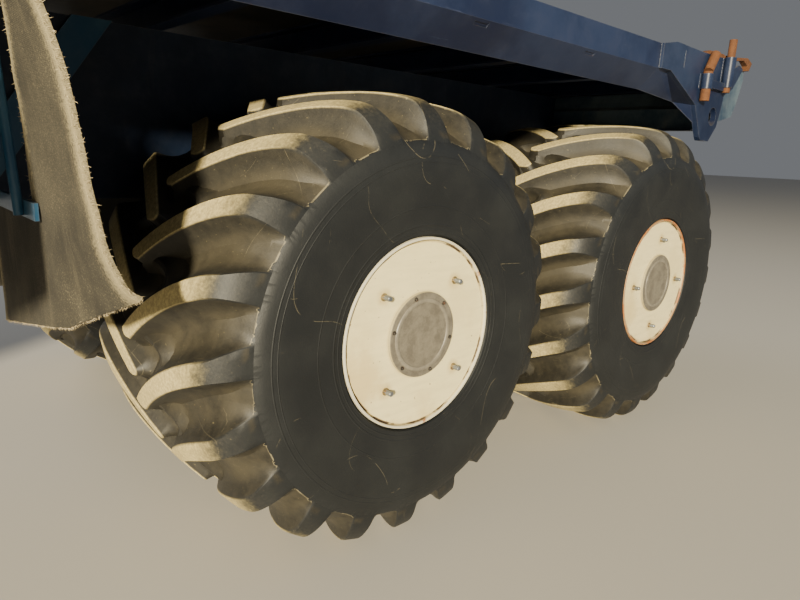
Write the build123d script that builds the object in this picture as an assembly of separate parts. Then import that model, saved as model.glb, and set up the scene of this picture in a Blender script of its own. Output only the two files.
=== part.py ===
from build123d import *
import math
import os

# An articulated six-wheel flatbed truck on very wide flotation tyres.
# Millimetres; +X forward, +Y the truck's left, +Z up, the ground at Z = 0.

# Wheels and tyres
TYRE_OD = 1676
TYRE_WIDTH = 1092
SHOULDER_DROP = 41          # how much lower the tread's shoulder is than its crown
SHOULDER_HALF = 455
MOUTH_DROP = 170            # crown to where the grooves open in the sidewall
MOUTH_HALF = 527
BULGE_DROP = 263            # crown to the widest ring of the sidewall
RIM_R = 317.5               # bead seat of a 25 inch rim
RIM_HALF = 527              # wheel centre to the outer plane of the flange
FLANGE_R = 349
FLANGE = 16
RIM_WALL = 18
HUB_PLATE_R = 155
HUB_RING_R = 125            # raised ring on the hub plate
COVER_DEPTH = 9             # the cover lies this far inside the flange's plane
COVER_BOLTS = 4
COVER_BOLT_R = 240
BOLT_R = 12
BOLT_STANDS = 20
WASHER_R = 21
TRACK = 2096                # between the wheels' centre planes
TANDEM_SPREAD = 1786
BEAD_GAP = 0.3

# Tread: two rows of leaning lugs, each row the other's mirror image, half a pitch round
TREAD_LUGS = 20
TREAD_START = -88.7         # degrees about the axle, up from straight ahead, of the first lug
TREAD_HALF = 2.3            # degrees from a lug's middle to its edges
TREAD_DEPTH = 70
TREAD_LEAN = (0.05, -0.00003)   # degrees that a lug's middle moves round, per mm outboard and per its square
SIDEWALL_TURN = 19          # degrees from a lug's start to the sidewall's corners below it
# Corners of a lug and of the groove before it: name, offset outboard of the tyre's centre plane, degrees
# past the lug's middle, depth below the crown
TREAD_CORNERS = (
    ("end_upper", -38, TREAD_HALF, 0),
    ("end_lower", 22, -TREAD_HALF, 0),
    ("crest", SHOULDER_HALF - 175, TREAD_HALF, 8.5),
    ("shoulder_upper", SHOULDER_HALF, TREAD_HALF, SHOULDER_DROP),
    ("shoulder_lower", SHOULDER_HALF, -TREAD_HALF, SHOULDER_DROP),
    ("groove_end", 88, -9.7, TREAD_DEPTH),
    ("groove_out", SHOULDER_HALF - 15, -7.2, TREAD_DEPTH + 46),
    ("mouth_upper", MOUTH_HALF, TREAD_HALF + 2.6, MOUTH_DROP),
    ("mouth_lower", MOUTH_HALF, -TREAD_HALF - 0.6, MOUTH_DROP),
)
# Facets between them. A corner of the next lug in the row ends in >, and one of the other row starts with ~
# where that row's groove meets this lug's end, or with ~< one lug before it
TREAD_FACETS = (
    ("end_upper", "crest", "end_lower"),
    ("crest", "shoulder_lower", "end_lower"),
    ("crest", "shoulder_upper", "shoulder_lower"),
    ("end_lower", "shoulder_lower", "groove_out"),
    ("end_lower", "groove_out", "groove_end"),
    ("end_upper", "crest", "groove_end>"),
    ("crest", "shoulder_upper", "groove_out>"),
    ("crest", "groove_out>", "groove_end>"),
    ("end_upper", "end_lower", "~groove_end"),
    ("end_lower", "groove_end", "~groove_end"),
    ("~<end_upper", "groove_end", "~groove_end"),
    ("groove_out", "shoulder_lower", "mouth_lower"),
    ("shoulder_lower", "shoulder_upper", "mouth_upper"),
    ("shoulder_lower", "mouth_upper", "mouth_lower"),
    ("shoulder_upper", "groove_out>", "mouth_upper"),
    ("groove_out>", "mouth_lower>", "mouth_upper"),
    ("mouth_lower", "mouth_upper", "bulge"),
    ("mouth_upper", "mouth_lower>", "bulge"),
    ("bulge", "mouth_lower>", "bulge>"),
    ("bulge", "bulge>", "bead>", "bead"),
    ("bead", "bead>", "bore>", "bore"),
    ("bore", "bore>", "~bore"),
)

# Where the axles and the pivot stand along the truck
FRONT_TANDEM_X = -2290
PIVOT_FROM_TANDEM = 3600
FRONT_AXLE_FROM_PIVOT = 1550
PIVOT_X = FRONT_TANDEM_X + PIVOT_FROM_TANDEM
REAR_TANDEM_X = FRONT_TANDEM_X - TANDEM_SPREAD
FRONT_AXLE_X = PIVOT_X + FRONT_AXLE_FROM_PIVOT
AXLE_Z = TYRE_OD / 2
WHEEL_Y = TRACK / 2

# Deck
DECK_HALF = 1575            # to the side rails' outer faces
DECK_OVER_TYRES = 349       # deck's top above the tyres' tops
DECK_TOP = TYRE_OD + DECK_OVER_TYRES
DECK_PLATE = 15
DECK_FRONT_X = PIVOT_X - 350
RAIL_REAR_X = FRONT_TANDEM_X - 1480     # where the side rails meet the corner brackets
DECK_REAR_X = FRONT_TANDEM_X - 2300
RAIL_FACE = 111             # upright face of a deck side rail
RAIL_CHAMFER = 92           # its bent-in lower lip, across and down
RAIL_FLANGE = 100
PLATE = 10                  # folded plate of the deck's edge
CROSS_DEPTH = 115
CROSS_WIDTH = 70
CROSS_COUNT = 9

# Main frames
FRAME_HALF = 450            # centreline to a main rail's outer face
FRAME_RAIL_WIDTH = 110
FRAME_DROP = 790            # deck's top down to the main rails' lower faces
FRAME_BOTTOM = DECK_TOP - FRAME_DROP
FRAME_TOP = DECK_TOP - DECK_PLATE - CROSS_DEPTH
FRAME_REAR_X = DECK_REAR_X
FRAME_SEAM = FRAME_BOTTOM + 275     # the main channel ends here and the deck's own channel stands on it
FRAME_WEB = 14
FRAME_FLANGE = 22
TIE_R = 80

# Axles, one table for all three: housing radius, bowl radius and width
AXLE_TUBE_R = 110
SPINDLE_R = 90
AXLE_BOWL_R = 250
AXLE_BOWL_WIDTH = 260
AXLE_NECK_R = 150
PINION_R = 95
PINION_REACH = 360          # axle's centre to its drive flange
BRAKE_R = 180
BRAKE_WIDTH = 110
HUB_R = 200
HUB_INNER_Y = 200           # hub's inboard face, from the wheel's centre plane
HUB_OUTER_Y = RIM_HALF - 37
DISC_INNER_Y = RIM_HALF - 97
RUNNING_GAP = 0.05
END_GAP = 8

# Articulation: a yoke that rolls about X and carries the upright steering pin
PIVOT_Z = 1050
ROLL_SHAFT_R = 140
ROLL_SHAFT_LENGTH = 420
NOSE_BACK = 760             # nose box, from its front face to its rear face
YOKE_BARREL_R = 125
STEER_PIN_R = 70
CLEVIS_GAP = 560            # between the front frame's two clevis plates
CLEVIS_PLATE = 50
THROAT_HALF = 215
YOKE_END_GAP = 30

# Steering cylinders, seen from above, measured from the pivot
CYL_Z = 960
CYL_BASE = (-200, 380)
CYL_EYE = (720, 380)
CYL_R = 55
ROD_R = 28
EYE_R = 55
EYE_HEIGHT = 60
BARREL_LENGTH = 560
ROD_LENGTH = 640
EAR_GAP = 8
EAR = 20
CYL_PIN_R = 25
YOKE_EAR_R = 40

# Front frame, engine and cab
FRONT_RAIL_HALF = 430
FRONT_RAIL_WIDTH = 80
FRONT_RAIL_BOTTOM = 1120
FRONT_RAIL_TOP = 1500
FRONT_RAIL_REAR = PIVOT_X + 330
FRONT_WEB = 12
SPRING_LEAF = 16
SPRING_HALVES = (450, 395, 325, 245, 160)   # half lengths of the leaves, from the top one down
SPRING_DROP = 70            # front rail's lower face down to the top leaf
NOSE_X = 4910
BUMPER_DEPTH = 130
BUMPER_REAR_X = NOSE_X - BUMPER_DEPTH
BUMPER_HALF = 1250
BUMPER_BOTTOM = 900
BUMPER_TOP = 1180
NOSE_PANEL = 60
NOSE_PANEL_HALF = 1120
BUMPER_SWEEP = 180          # how far its bevelled ends run inwards
BUMPER_TAPER = 90
GRILLE_HALF = 560
GRILLE_SLOTS = 5
GRILLE_SLOT = 28
LAMP_R = 90
LAMP_RIM = 14
HEADLAMP_Y = (720, 960)
FENDER_GAP = 62
FENDER = 12
FENDER_LIP = 40             # the rolled lip hangs this far down over the tyre's edge
FENDER_END = 400            # the fender stops this far above the axle
CAB_OVER_FENDER = 40
CAB_FLOOR = TYRE_OD + FENDER_GAP + FENDER + CAB_OVER_FENDER
CAB_BELT = CAB_FLOOR + 710
CAB_ROOF = CAB_BELT + 830
CAB_HALF = 1200
CAB_WALL = 55
CAB_REAR_X = 3300
CAB_FRONT_X = 4870
CAB_RAKE = 170
PANE = 8
DOOR_FRONT_X = CAB_FRONT_X - 310
DOOR_REAR_X = CAB_REAR_X + 320
DOOR_BOTTOM = CAB_FLOOR + 70
DOOR_TOP = CAB_ROOF - 130
DOOR_GAP = 9
HINGE_OUT = 18
HINGE_PIN_R = 8
HINGE_R = 15
HINGE_LENGTH = 90
WINDOW_EDGE = 90
WINDOW_CORNER = 60
CAB_EDGE_R = 70             # rounding of the cab's roof and corner edges
PRESSING = 7                # depth of the panels pressed into the doors and the cab's front
PRESSING_EDGE = 90
PRESSING_CORNER = 50
DOOR_CORNER = 45
HOOD_HALF = 480
HOOD_BOTTOM = FRONT_RAIL_TOP
HOOD_TOP = CAB_BELT + 120
HOOD_REAR_X = PIVOT_X + 420
HOOD_CHAMFER = 140
HOOD_WALL = 40
HOOD_SLOPE = 120            # the hood's roof falls this much to its rear
RADIATOR_EDGE = 120         # frame left round the grille in the hood's rear wall
RADIATOR_BARS = 7
RADIATOR_BAR = 26
LOUVRES = 8
LOUVRE_PITCH = 90
LOUVRE_HEIGHT = 300
LOUVRE_WIDTH = 34
STACK_R = 85
STACK_HEIGHT = 560
TAILPIPE_R = 42
TAILPIPE_BEND = 110
HOOD_FRONT_X = CAB_REAR_X - 15
ENGINE_LENGTH = 1000
ENGINE_FRONT_X = HOOD_FRONT_X - 285
ENGINE_REAR_X = ENGINE_FRONT_X - ENGINE_LENGTH
ENGINE_WIDTH = 600
ENGINE_BOTTOM = 1180
ENGINE_TOP = 2150

# Seats, measured from the cab's rear wall and floor
SEAT_Y = 590                # centreline to a seat's middle, and to the steering wheel
SEAT_HALF = 270
SEAT_FROM_WALL = 400
SEAT_LENGTH = 520
SEAT_HEIGHT = 470
CUSHION = 140
PEDESTAL_INSET = 120
BACK_TOP = 1080             # above the floor
BACK_THICK = 130
BACK_LEAN = 110
DASH_HALF = 1100
DASH_SHELF = 180
DASH_DEPTH = 230
DASH_KNEE = 120
WHEEL_FROM_WALL = 1100      # the cab's rear wall to the steering wheel's hub
STEER_WHEEL_R = 215

# Steps below the doors
STEP_OUTER_Y = 1180
STEP_DEPTH = 200
STEP_TREAD = 30
STEP_RISE = 350
STEP_BOTTOM = 720
STEP_TOP = 1470
STEP_COUNT = 3

# Rear corner brackets and the tail, measured from the front tandem axle
LUG_PLATE = 30
LUG_OUT = 15                # how far the lug plate stands outside the side rail
LUG_INNER = DECK_HALF + LUG_OUT - LUG_PLATE
LUG_DROP = 417              # deck's top down to the lug's tip
LUG_TIP_Z = DECK_TOP - LUG_DROP
LUG_HOLE = (-2140, DECK_TOP - 285)
LUG_HOLE_R = 47.5
PIN_TUBE_R = 29
TUBE_Y = LUG_INNER + LUG_PLATE + PIN_TUBE_R - 3
REAR_PIN_R = 20
FRONT_PIN_R = 24
TOP_BAR = 18                # rusty bar along the corner's top edge
STRAP = 12                  # plate of the slanted strap behind the bracket

# Mud flaps ahead of the tandem: places ahead of the axle and below the deck's top, down three lines that
# stand at the outer edge, part way in and at the inner edge. The outer corner curls back to the tyre
FLAP = 16
FLAP_INNER_Y = 425
FLAP_MIDDLE_Y = 1230
FLAP_UPPER = ((1158, 225), (1113, 379), (1084, 526))
FLAP_LINES = (
    (DECK_HALF, FLAP_UPPER + ((1065, 677), (1044, 798), (1006, 905), (966, 939))),
    (FLAP_MIDDLE_Y, FLAP_UPPER + ((1067, 677), (1058, 800), (1054, 930), (1052, 1083))),
    (FLAP_INNER_Y, FLAP_UPPER + ((1070, 677), (1064, 800), (1062, 1020), (1062, 1242))),
)
FLAP_SLIT_DROP = 795        # deck's top down to the slit and the flat bar that carries the apron
# Inner edge of the narrow upper strip: places from the centreline and below the deck's top
FLAP_NECK = ((1345, 215), (1274, 295), (1147, 428), (1092, 551), (1049, 686), (1026, FLAP_SLIT_DROP))
HANGER = 60
STAY_R = 14
STAY_Y = 987
FLAT_BAR = 12
FLAT_BAR_X = 1073           # its rear face ahead of the front tandem axle
FLAT_BAR_HEIGHT = 50
FLAT_BAR_END_Y = 1120
BRACE_WIDTH = 114
BRACE = 30
BRACE_TOP_X = 640           # ahead of the front tandem axle, where it meets the deck's channel
BRACE_FOOT_X = 1075

# Boxes on the frame between the flaps and the deck's front
BOX_REAR = 1500             # from the front tandem axle
BOX_FRONT = 2800
BOX_BOTTOM = 1150
BOX_TOP = 1750
BOX_OUT = 1480
BOX_CORNER = 35
BOX_DOOR = 8
BOX_DOORS = 2
TANK_R = 290
TANK_DOME = 70              # how far its domed ends reach
TANK_FACE = (0.55, 0.85)    # shares of the radius at the dome's flat middle and at a third of its depth
TANK_STRAP = 6
FILLER_R = 55

# The guard at the deck's front, and the drive shafts
HEADBOARD_HALF = DECK_HALF - 75
HEADBOARD_TOP = DECK_TOP + 955
HEADBOARD_TUBE = 80
HEADBOARD_BAY = 500         # centreline to the middle posts' outer faces
SLAT_COUNT = 6
SLAT = 50
PROP_R = 55

# The folded tail, and its lamps
TAIL_FACE_X = FRONT_TANDEM_X - 2570
TAIL_LIP = 10
LAMP_Y = (1100, 1300)
LAMP_DROP = (90, 30)

LEFT = 1
RIGHT = -1
AHEAD = 1
BEHIND = -1
SIDES = (("left", LEFT), ("right", RIGHT))


def block(x0, x1, y0, y1, z0, z1):
    """A box between two corners."""
    centre = Pos((x0 + x1) / 2, (y0 + y1) / 2, (z0 + z1) / 2)
    return centre * Box(abs(x1 - x0), abs(y1 - y0), abs(z1 - z0))


def side_prism(outline, y0, y1, corner=0):
    """An outline of (x, z) points, its corners rounded, extruded from y0 to y1."""
    face = make_face(Polyline(*[(x, y0, z) for x, z in outline], close=True))
    if corner:
        face = fillet(face.vertices(), corner)
    return extrude(face, amount=y1 - y0, dir=(0, 1, 0))


def long_prism(outline, x0, x1, corner=0):
    """An outline of (y, z) points, its corners rounded, extruded from x0 to x1."""
    face = make_face(Polyline(*[(x0, y, z) for y, z in outline], close=True))
    if corner:
        face = fillet(face.vertices(), corner)
    return extrude(face, amount=x1 - x0, dir=(1, 0, 0))


def plan_prism(outline, z0, z1, corner=0):
    """An outline of (x, y) points, its corners rounded, extruded from z0 to z1."""
    face = make_face(Polyline(*[(x, y, z0) for x, y in outline], close=True))
    if corner:
        face = fillet(face.vertices(), corner)
    return extrude(face, amount=z1 - z0, dir=(0, 0, 1))


def channel(outer, width, web, flange, z0, z1, x0, x1):
    """A channel rail on the left, open towards the truck's middle."""
    inner = outer - width
    outline = [
        (inner, z0),
        (outer, z0),
        (outer, z1),
        (inner, z1),
        (inner, z1 - flange),
        (outer - web, z1 - flange),
        (outer - web, z0 + flange),
        (inner, z0 + flange),
    ]
    return long_prism(outline, x0, x1)


def rod_x(x0, x1, y, z, r):
    return Pos((x0 + x1) / 2, y, z) * Rot(0, 90, 0) * Cylinder(r, abs(x1 - x0))


def rod_y(x, y0, y1, z, r):
    return Pos(x, (y0 + y1) / 2, z) * Rot(90, 0, 0) * Cylinder(r, abs(y1 - y0))


def rod_z(x, y, z0, z1, r):
    return Pos(x, y, (z0 + z1) / 2) * Cylinder(r, abs(z1 - z0))


def turned(section, side=LEFT):
    """A ring turned about the Y axis from (radius, offset) points; offset is outboard."""
    points = [(0, side * offset, radius) for radius, offset in section]
    return revolve(make_face(Polyline(*points, close=True)), axis=Axis.Y)


def both(shape):
    """The shape and its mirror image on the truck's other side."""
    return shape + mirror(shape, about=Plane.XZ)


def tread_row(side, row):
    """Every named corner of one row of lugs and of the sidewall outboard of it."""
    crown = TYRE_OD / 2
    pitch = 360 / TREAD_LUGS
    start = TREAD_START if row > 0 else TREAD_START + pitch / 2
    turn_per_mm, turn_per_square = TREAD_LEAN
    inside = RIM_HALF - FLANGE - 4
    flat = math.cos(math.radians(pitch / 2))
    places = [
        ("bulge", TYRE_WIDTH / 2, SIDEWALL_TURN, crown - BULGE_DROP),
        ("bead", inside + 3, SIDEWALL_TURN, FLANGE_R + 14),
        ("bore", inside, SIDEWALL_TURN, (RIM_R + BEAD_GAP) / flat),
    ]
    for name, offset, past, drop in TREAD_CORNERS:
        middle = turn_per_mm * offset + turn_per_square * offset**2
        places.append((name, offset, middle + past, crown - drop))
    corners = {}
    for name, offset, turn, radius in places:
        for lug in range(TREAD_LUGS):
            angle = math.radians(start + turn + lug * pitch)
            corners[name, lug] = (radius * math.cos(angle), side * row * offset, radius * math.sin(angle))
    return corners


def tyre(side):
    """The lugged tyre, closed by flat facets between the named corners of its two rows."""
    rows = {row: tread_row(side, row) for row in (1, -1)}
    faces = []
    for row in rows:
        for lug in range(TREAD_LUGS):
            for facet in TREAD_FACETS:
                corners = []
                for name in facet:
                    at = lug + name.count(">") - name.count("<")
                    if "~" in name and row < 0:
                        at += 1
                    there = -row if "~" in name else row
                    corners.append(Vector(*rows[there][name.strip("~<>"), at % TREAD_LUGS]))
                faces.append(Face(Wire.make_polygon(corners, close=True)))
    return Solid(Shell(faces))


def wheel(side, bolt_turn):
    """Rim, disc and hub, with the round cover, its lip, its raised ring and its four bolts."""
    cover = RIM_HALF - COVER_DEPTH
    lip = FLANGE_R - FLANGE
    section = [
        (0, cover + 12),
        (HUB_RING_R - 7, cover + 12),
        (HUB_RING_R - 7, cover + 15),
        (HUB_RING_R + 7, cover + 15),
        (HUB_RING_R + 7, cover + 12),
        (HUB_PLATE_R, cover + 12),
        (HUB_PLATE_R, cover),
        (lip - 14, cover),
        (lip - 14, cover - 8),
        (lip - 4, cover - 8),
        (lip, RIM_HALF - 3),
        (lip + 5, RIM_HALF),
        (FLANGE_R - 4, RIM_HALF),
        (FLANGE_R, RIM_HALF - 4),
        (FLANGE_R, RIM_HALF - FLANGE),
        (RIM_R, RIM_HALF - FLANGE - 2),
        (RIM_R, FLANGE + 2 - RIM_HALF),
        (FLANGE_R, FLANGE - RIM_HALF),
        (FLANGE_R, -RIM_HALF),
        (RIM_R - RIM_WALL, -RIM_HALF),
        (RIM_R - RIM_WALL, DISC_INNER_Y),
        (HUB_R, DISC_INNER_Y),
        (HUB_R, HUB_INNER_Y),
        (SPINDLE_R + RUNNING_GAP, HUB_INNER_Y),
        (SPINDLE_R + RUNNING_GAP, HUB_OUTER_Y),
        (0, HUB_OUTER_Y),
    ]
    disc = turned(section, side)
    for i in range(COVER_BOLTS):
        turn = math.radians(bolt_turn + 360 * i / COVER_BOLTS)
        x = COVER_BOLT_R * math.cos(turn)
        z = COVER_BOLT_R * math.sin(turn)
        disc += rod_y(x, side * (cover - 2), side * (cover + 4), z, WASHER_R)
        disc += rod_y(x, side * (cover - 2), side * (cover + BOLT_STANDS), z, BOLT_R)
    return disc


def axle(x, pinion_side):
    """A drive axle turned about its own line: bowl, necks, tubes, brakes and spindles, with its pinion."""
    tube_end = WHEEL_Y + HUB_INNER_Y - END_GAP
    spindle_end = WHEEL_Y + HUB_OUTER_Y - END_GAP
    bowl = AXLE_BOWL_WIDTH / 2
    half = [
        (0, spindle_end),
        (SPINDLE_R, spindle_end),
        (SPINDLE_R, tube_end),
        (BRAKE_R, tube_end),
        (BRAKE_R, tube_end - BRAKE_WIDTH),
        (AXLE_TUBE_R, tube_end - BRAKE_WIDTH - 30),
        (AXLE_TUBE_R, bowl + 170),
        (AXLE_NECK_R, bowl + 90),
        (AXLE_BOWL_R - 25, bowl),
        (AXLE_BOWL_R, bowl - 40),
    ]
    inner = [(radius, -offset) for radius, offset in reversed(half)]
    housing = Pos(x, 0, AXLE_Z) * turned(half + inner)
    return housing + rod_x(x, x + pinion_side * PINION_REACH, 0, AXLE_Z, PINION_R)


def deck_frame():
    """Folded side rails and cross members, welded together."""
    crease = DECK_TOP - RAIL_FACE
    lip = crease - RAIL_CHAMFER
    bend = PLATE * math.tan(math.radians(22.5))
    slant = PLATE * math.sin(math.radians(45))
    section = [
        (DECK_HALF - RAIL_FLANGE, DECK_TOP),
        (DECK_HALF, DECK_TOP),
        (DECK_HALF, crease),
        (DECK_HALF - RAIL_CHAMFER, lip),
        (DECK_HALF - RAIL_CHAMFER - slant, lip + slant),
        (DECK_HALF - PLATE, crease + bend),
        (DECK_HALF - PLATE, DECK_TOP - PLATE),
        (DECK_HALF - RAIL_FLANGE, DECK_TOP - PLATE),
    ]
    frame = both(long_prism(section, RAIL_REAR_X, DECK_FRONT_X))
    under = DECK_TOP - DECK_PLATE
    pitch = (DECK_FRONT_X - DECK_REAR_X - CROSS_WIDTH) / (CROSS_COUNT - 1)
    for i in range(CROSS_COUNT):
        x = DECK_REAR_X + i * pitch
        reach = DECK_HALF - PLATE / 2 if x > RAIL_REAR_X else LUG_INNER
        end = block(x, x + CROSS_WIDTH, -reach, reach, under - CROSS_DEPTH, under)
        hollow = block(x + PLATE, x + CROSS_WIDTH, -reach, reach, under - CROSS_DEPTH + PLATE, under - PLATE)
        frame += end - hollow
    stringer = block(DECK_REAR_X, RAIL_REAR_X + PLATE, LUG_INNER - PLATE, LUG_INNER, under - CROSS_DEPTH, under)
    return frame + both(stringer)


def deck_plate():
    inner = DECK_HALF - RAIL_FLANGE
    front = DECK_FRONT_X - HEADBOARD_TUBE
    plate = block(RAIL_REAR_X, front, -inner, inner, DECK_TOP - DECK_PLATE, DECK_TOP)
    tail = block(DECK_REAR_X, RAIL_REAR_X, -LUG_INNER, LUG_INNER, DECK_TOP - DECK_PLATE, DECK_TOP)
    return plate + tail


def rear_rails():
    """The rear frame: main channels under the deck's channels, ties, the nose box and its roll bearing."""
    inner = FRAME_HALF - FRAME_WEB
    nose_front = DECK_FRONT_X
    nose_rear = nose_front - NOSE_BACK
    frame = None
    for z0, z1 in ((FRAME_BOTTOM, FRAME_SEAM), (FRAME_SEAM, FRAME_TOP)):
        rail = channel(FRAME_HALF, FRAME_RAIL_WIDTH, FRAME_WEB, FRAME_FLANGE, z0, z1, FRAME_REAR_X, nose_front)
        frame = both(rail) if frame is None else frame + both(rail)
    for x in (FRAME_REAR_X + TIE_R, REAR_TANDEM_X, FRONT_TANDEM_X, nose_rear - 700):
        frame += rod_y(x, -inner, inner, (FRAME_BOTTOM + FRAME_SEAM) / 2, TIE_R)
    low = PIVOT_Z - ROLL_SHAFT_R - 130
    nose = [
        (nose_rear, FRAME_BOTTOM),
        (nose_front - 300, low),
        (nose_front, low),
        (nose_front, FRAME_TOP),
        (nose_rear, FRAME_TOP),
    ]
    box = side_prism(nose, -inner, inner)
    shaft = rod_x(nose_front - ROLL_SHAFT_LENGTH - 20, nose_front + 20, 0, PIVOT_Z, ROLL_SHAFT_R + RUNNING_GAP)
    return frame + box - shaft


def rear_corner():
    """The deck's left rear corner: hanging lug plate, pin tubes, the web between them and the back strap."""
    x0 = FRONT_TANDEM_X
    outline = [
        (x0 - 1480, DECK_TOP),
        (x0 - 1610, DECK_TOP + 24),
        (x0 - 1925, DECK_TOP + 18),
        (x0 - 2300, DECK_TOP + 26),
        (x0 - 2300, DECK_TOP - 60),
        (x0 - 2250, DECK_TOP - 160),
        (x0 - 2238, DECK_TOP - 238),
        (x0 - 2210, DECK_TOP - 336),
        (x0 - 2130, LUG_TIP_Z),
        (x0 - 2030, LUG_TIP_Z),
        (x0 - 2010, DECK_TOP - 400),
        (x0 - 1902, DECK_TOP - 242),
        (x0 - 1578, DECK_TOP - RAIL_FACE),
        (x0 - 1480, DECK_TOP - RAIL_FACE),
    ]
    outer = LUG_INNER + LUG_PLATE
    plate = side_prism(outline, LUG_INNER, outer)
    plate -= block(RAIL_REAR_X, RAIL_REAR_X + 500, LUG_INNER, DECK_HALF, LUG_TIP_Z, DECK_TOP + 99)
    plate -= rod_y(x0 + LUG_HOLE[0], LUG_INNER - 10, outer + 10, LUG_HOLE[1], LUG_HOLE_R)
    strap = [
        (x0 - 2290, DECK_TOP - 35),
        (x0 - 2455, DECK_TOP + 22),
        (x0 - 2512, DECK_TOP + 4),
        (x0 - 2405, DECK_TOP - 112),
        (x0 - 2290, DECK_TOP - 160),
    ]
    plate += side_prism(strap, LUG_INNER, LUG_INNER + STRAP)
    web_top = DECK_TOP - 108
    web_edge = PIN_TUBE_R - 4
    web_rear = x0 + REAR_TUBE_X + web_edge
    web_front = x0 + FRONT_TUBE_X - web_edge
    plate += block(web_rear, web_front, outer - 2, outer + 24, web_top - 40, web_top)
    for dx, below, above, bore in TUBES:
        low = DECK_TOP + below
        high = DECK_TOP + above
        tube = rod_z(x0 + dx, TUBE_Y, low, high, PIN_TUBE_R)
        plate += tube - block(x0 + dx - 99, x0 + dx + 99, 0, LUG_INNER, low, high)
        plate -= rod_z(x0 + dx, TUBE_Y, low - 1, high + 1, bore)
    return plate


def corner_pins():
    """The rusty pins in the corner tubes, the front one's bent handle, and the bar on the top edge."""
    x0 = FRONT_TANDEM_X
    pins = None
    for dx, below, above, r in PINS:
        pin = rod_z(x0 + dx, TUBE_Y, DECK_TOP + below, DECK_TOP + above, r)
        pins = pin if pins is None else pins + pin
    foot = (x0 + FRONT_TUBE_X - 2, TUBE_Y, DECK_TOP - 72)
    pins += slant_rod(foot, (x0 + FRONT_TUBE_X - 62, TUBE_Y, DECK_TOP + 20), FRONT_PIN_R)
    top = [
        (x0 - 1925, DECK_TOP + 18),
        (x0 - 2300, DECK_TOP + 26),
        (x0 - 2460, DECK_TOP + 46),
        (x0 - 2515, DECK_TOP + 24),
        (x0 - 2528, DECK_TOP),
        (x0 - 2552, DECK_TOP),
        (x0 - 2580, DECK_TOP + 45),
        (x0 - 2509, DECK_TOP + 66),
        (x0 - 2300, DECK_TOP + 26 + TOP_BAR),
        (x0 - 1985, DECK_TOP + 19 + TOP_BAR),
    ]
    bar = side_prism(top, LUG_INNER, LUG_INNER + LUG_PLATE)
    bar -= rod_z(x0 + REAR_TUBE_X, TUBE_Y, DECK_TOP, DECK_TOP + 99, PIN_TUBE_R + END_GAP)
    return both(pins) + both(bar)


# The corner's tubes, behind the front tandem axle
REAR_TUBE_X = -2200
FRONT_TUBE_X = -1940

# Their lower and upper ends from the deck's top, and the bore
TUBES = (
    (REAR_TUBE_X, -129, 26, REAR_PIN_R + RUNNING_GAP),
    (FRONT_TUBE_X, -161, -86, FRONT_PIN_R + RUNNING_GAP),
)
# Pins: place, lower and upper end from the deck's top, radius
PINS = (
    (REAR_TUBE_X, -155, 117, REAR_PIN_R),
    (FRONT_TUBE_X, -220, -75, FRONT_PIN_R),
)


def tail_form():
    """The tail's outer form, from corner bracket to corner bracket."""
    x0 = TAIL_FACE_X
    outline = [
        (DECK_REAR_X, DECK_TOP + TAIL_LIP),
        (x0 + 15, DECK_TOP + TAIL_LIP),
        (x0, DECK_TOP - 50),
        (x0 + 50, DECK_TOP - 185),
        (x0 + 95, DECK_TOP - 262),
        (DECK_REAR_X, DECK_TOP - 300),
    ]
    return side_prism(outline, -LUG_INNER, LUG_INNER)


def rear_beam():
    """The folded tail across the deck's rear end: bent plate with closed ends, open to the deck's underside."""
    x0 = TAIL_FACE_X
    room = [
        (DECK_REAR_X, DECK_TOP - DECK_PLATE - PLATE),
        (x0 + 15 + PLATE, DECK_TOP + TAIL_LIP - PLATE),
        (x0 + PLATE, DECK_TOP - 50),
        (x0 + 50 + PLATE, DECK_TOP - 185),
        (x0 + 95 + PLATE, DECK_TOP - 262 + PLATE),
        (DECK_REAR_X, DECK_TOP - 300 + PLATE),
    ]
    inner = LUG_INNER - PLATE
    return tail_form() - side_prism(room, -inner, inner)


def slant_rod(start, end, r):
    """A round bar between two points."""
    a = Vector(*start)
    b = Vector(*end)
    length = (b - a).length
    return Plane(origin=a, z_dir=b - a) * Pos(0, 0, length / 2) * Cylinder(r, length)


def tandem_drive():
    """Both tandem axles with the shafts that drive them from the nose."""
    drive = axle(FRONT_TANDEM_X, AHEAD) + axle(REAR_TANDEM_X, AHEAD)
    drive += rod_x(REAR_TANDEM_X, FRONT_TANDEM_X, 0, AXLE_Z, PROP_R)
    start = (FRONT_TANDEM_X + PINION_REACH - 20, 0, AXLE_Z)
    nose = (DECK_FRONT_X - ROLL_SHAFT_LENGTH - 45, 0, PIVOT_Z - 40)
    drive += slant_rod(start, nose, PROP_R)
    between = (REAR_TANDEM_X + PINION_REACH + 60, FRONT_TANDEM_X - AXLE_BOWL_R - 40)
    for x in between + (FRONT_TANDEM_X + PINION_REACH,):
        drive += rod_x(x - 60, x + 60, 0, AXLE_Z, PROP_R + 25)
    return drive - PARTS["rear_rails"]


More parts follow.
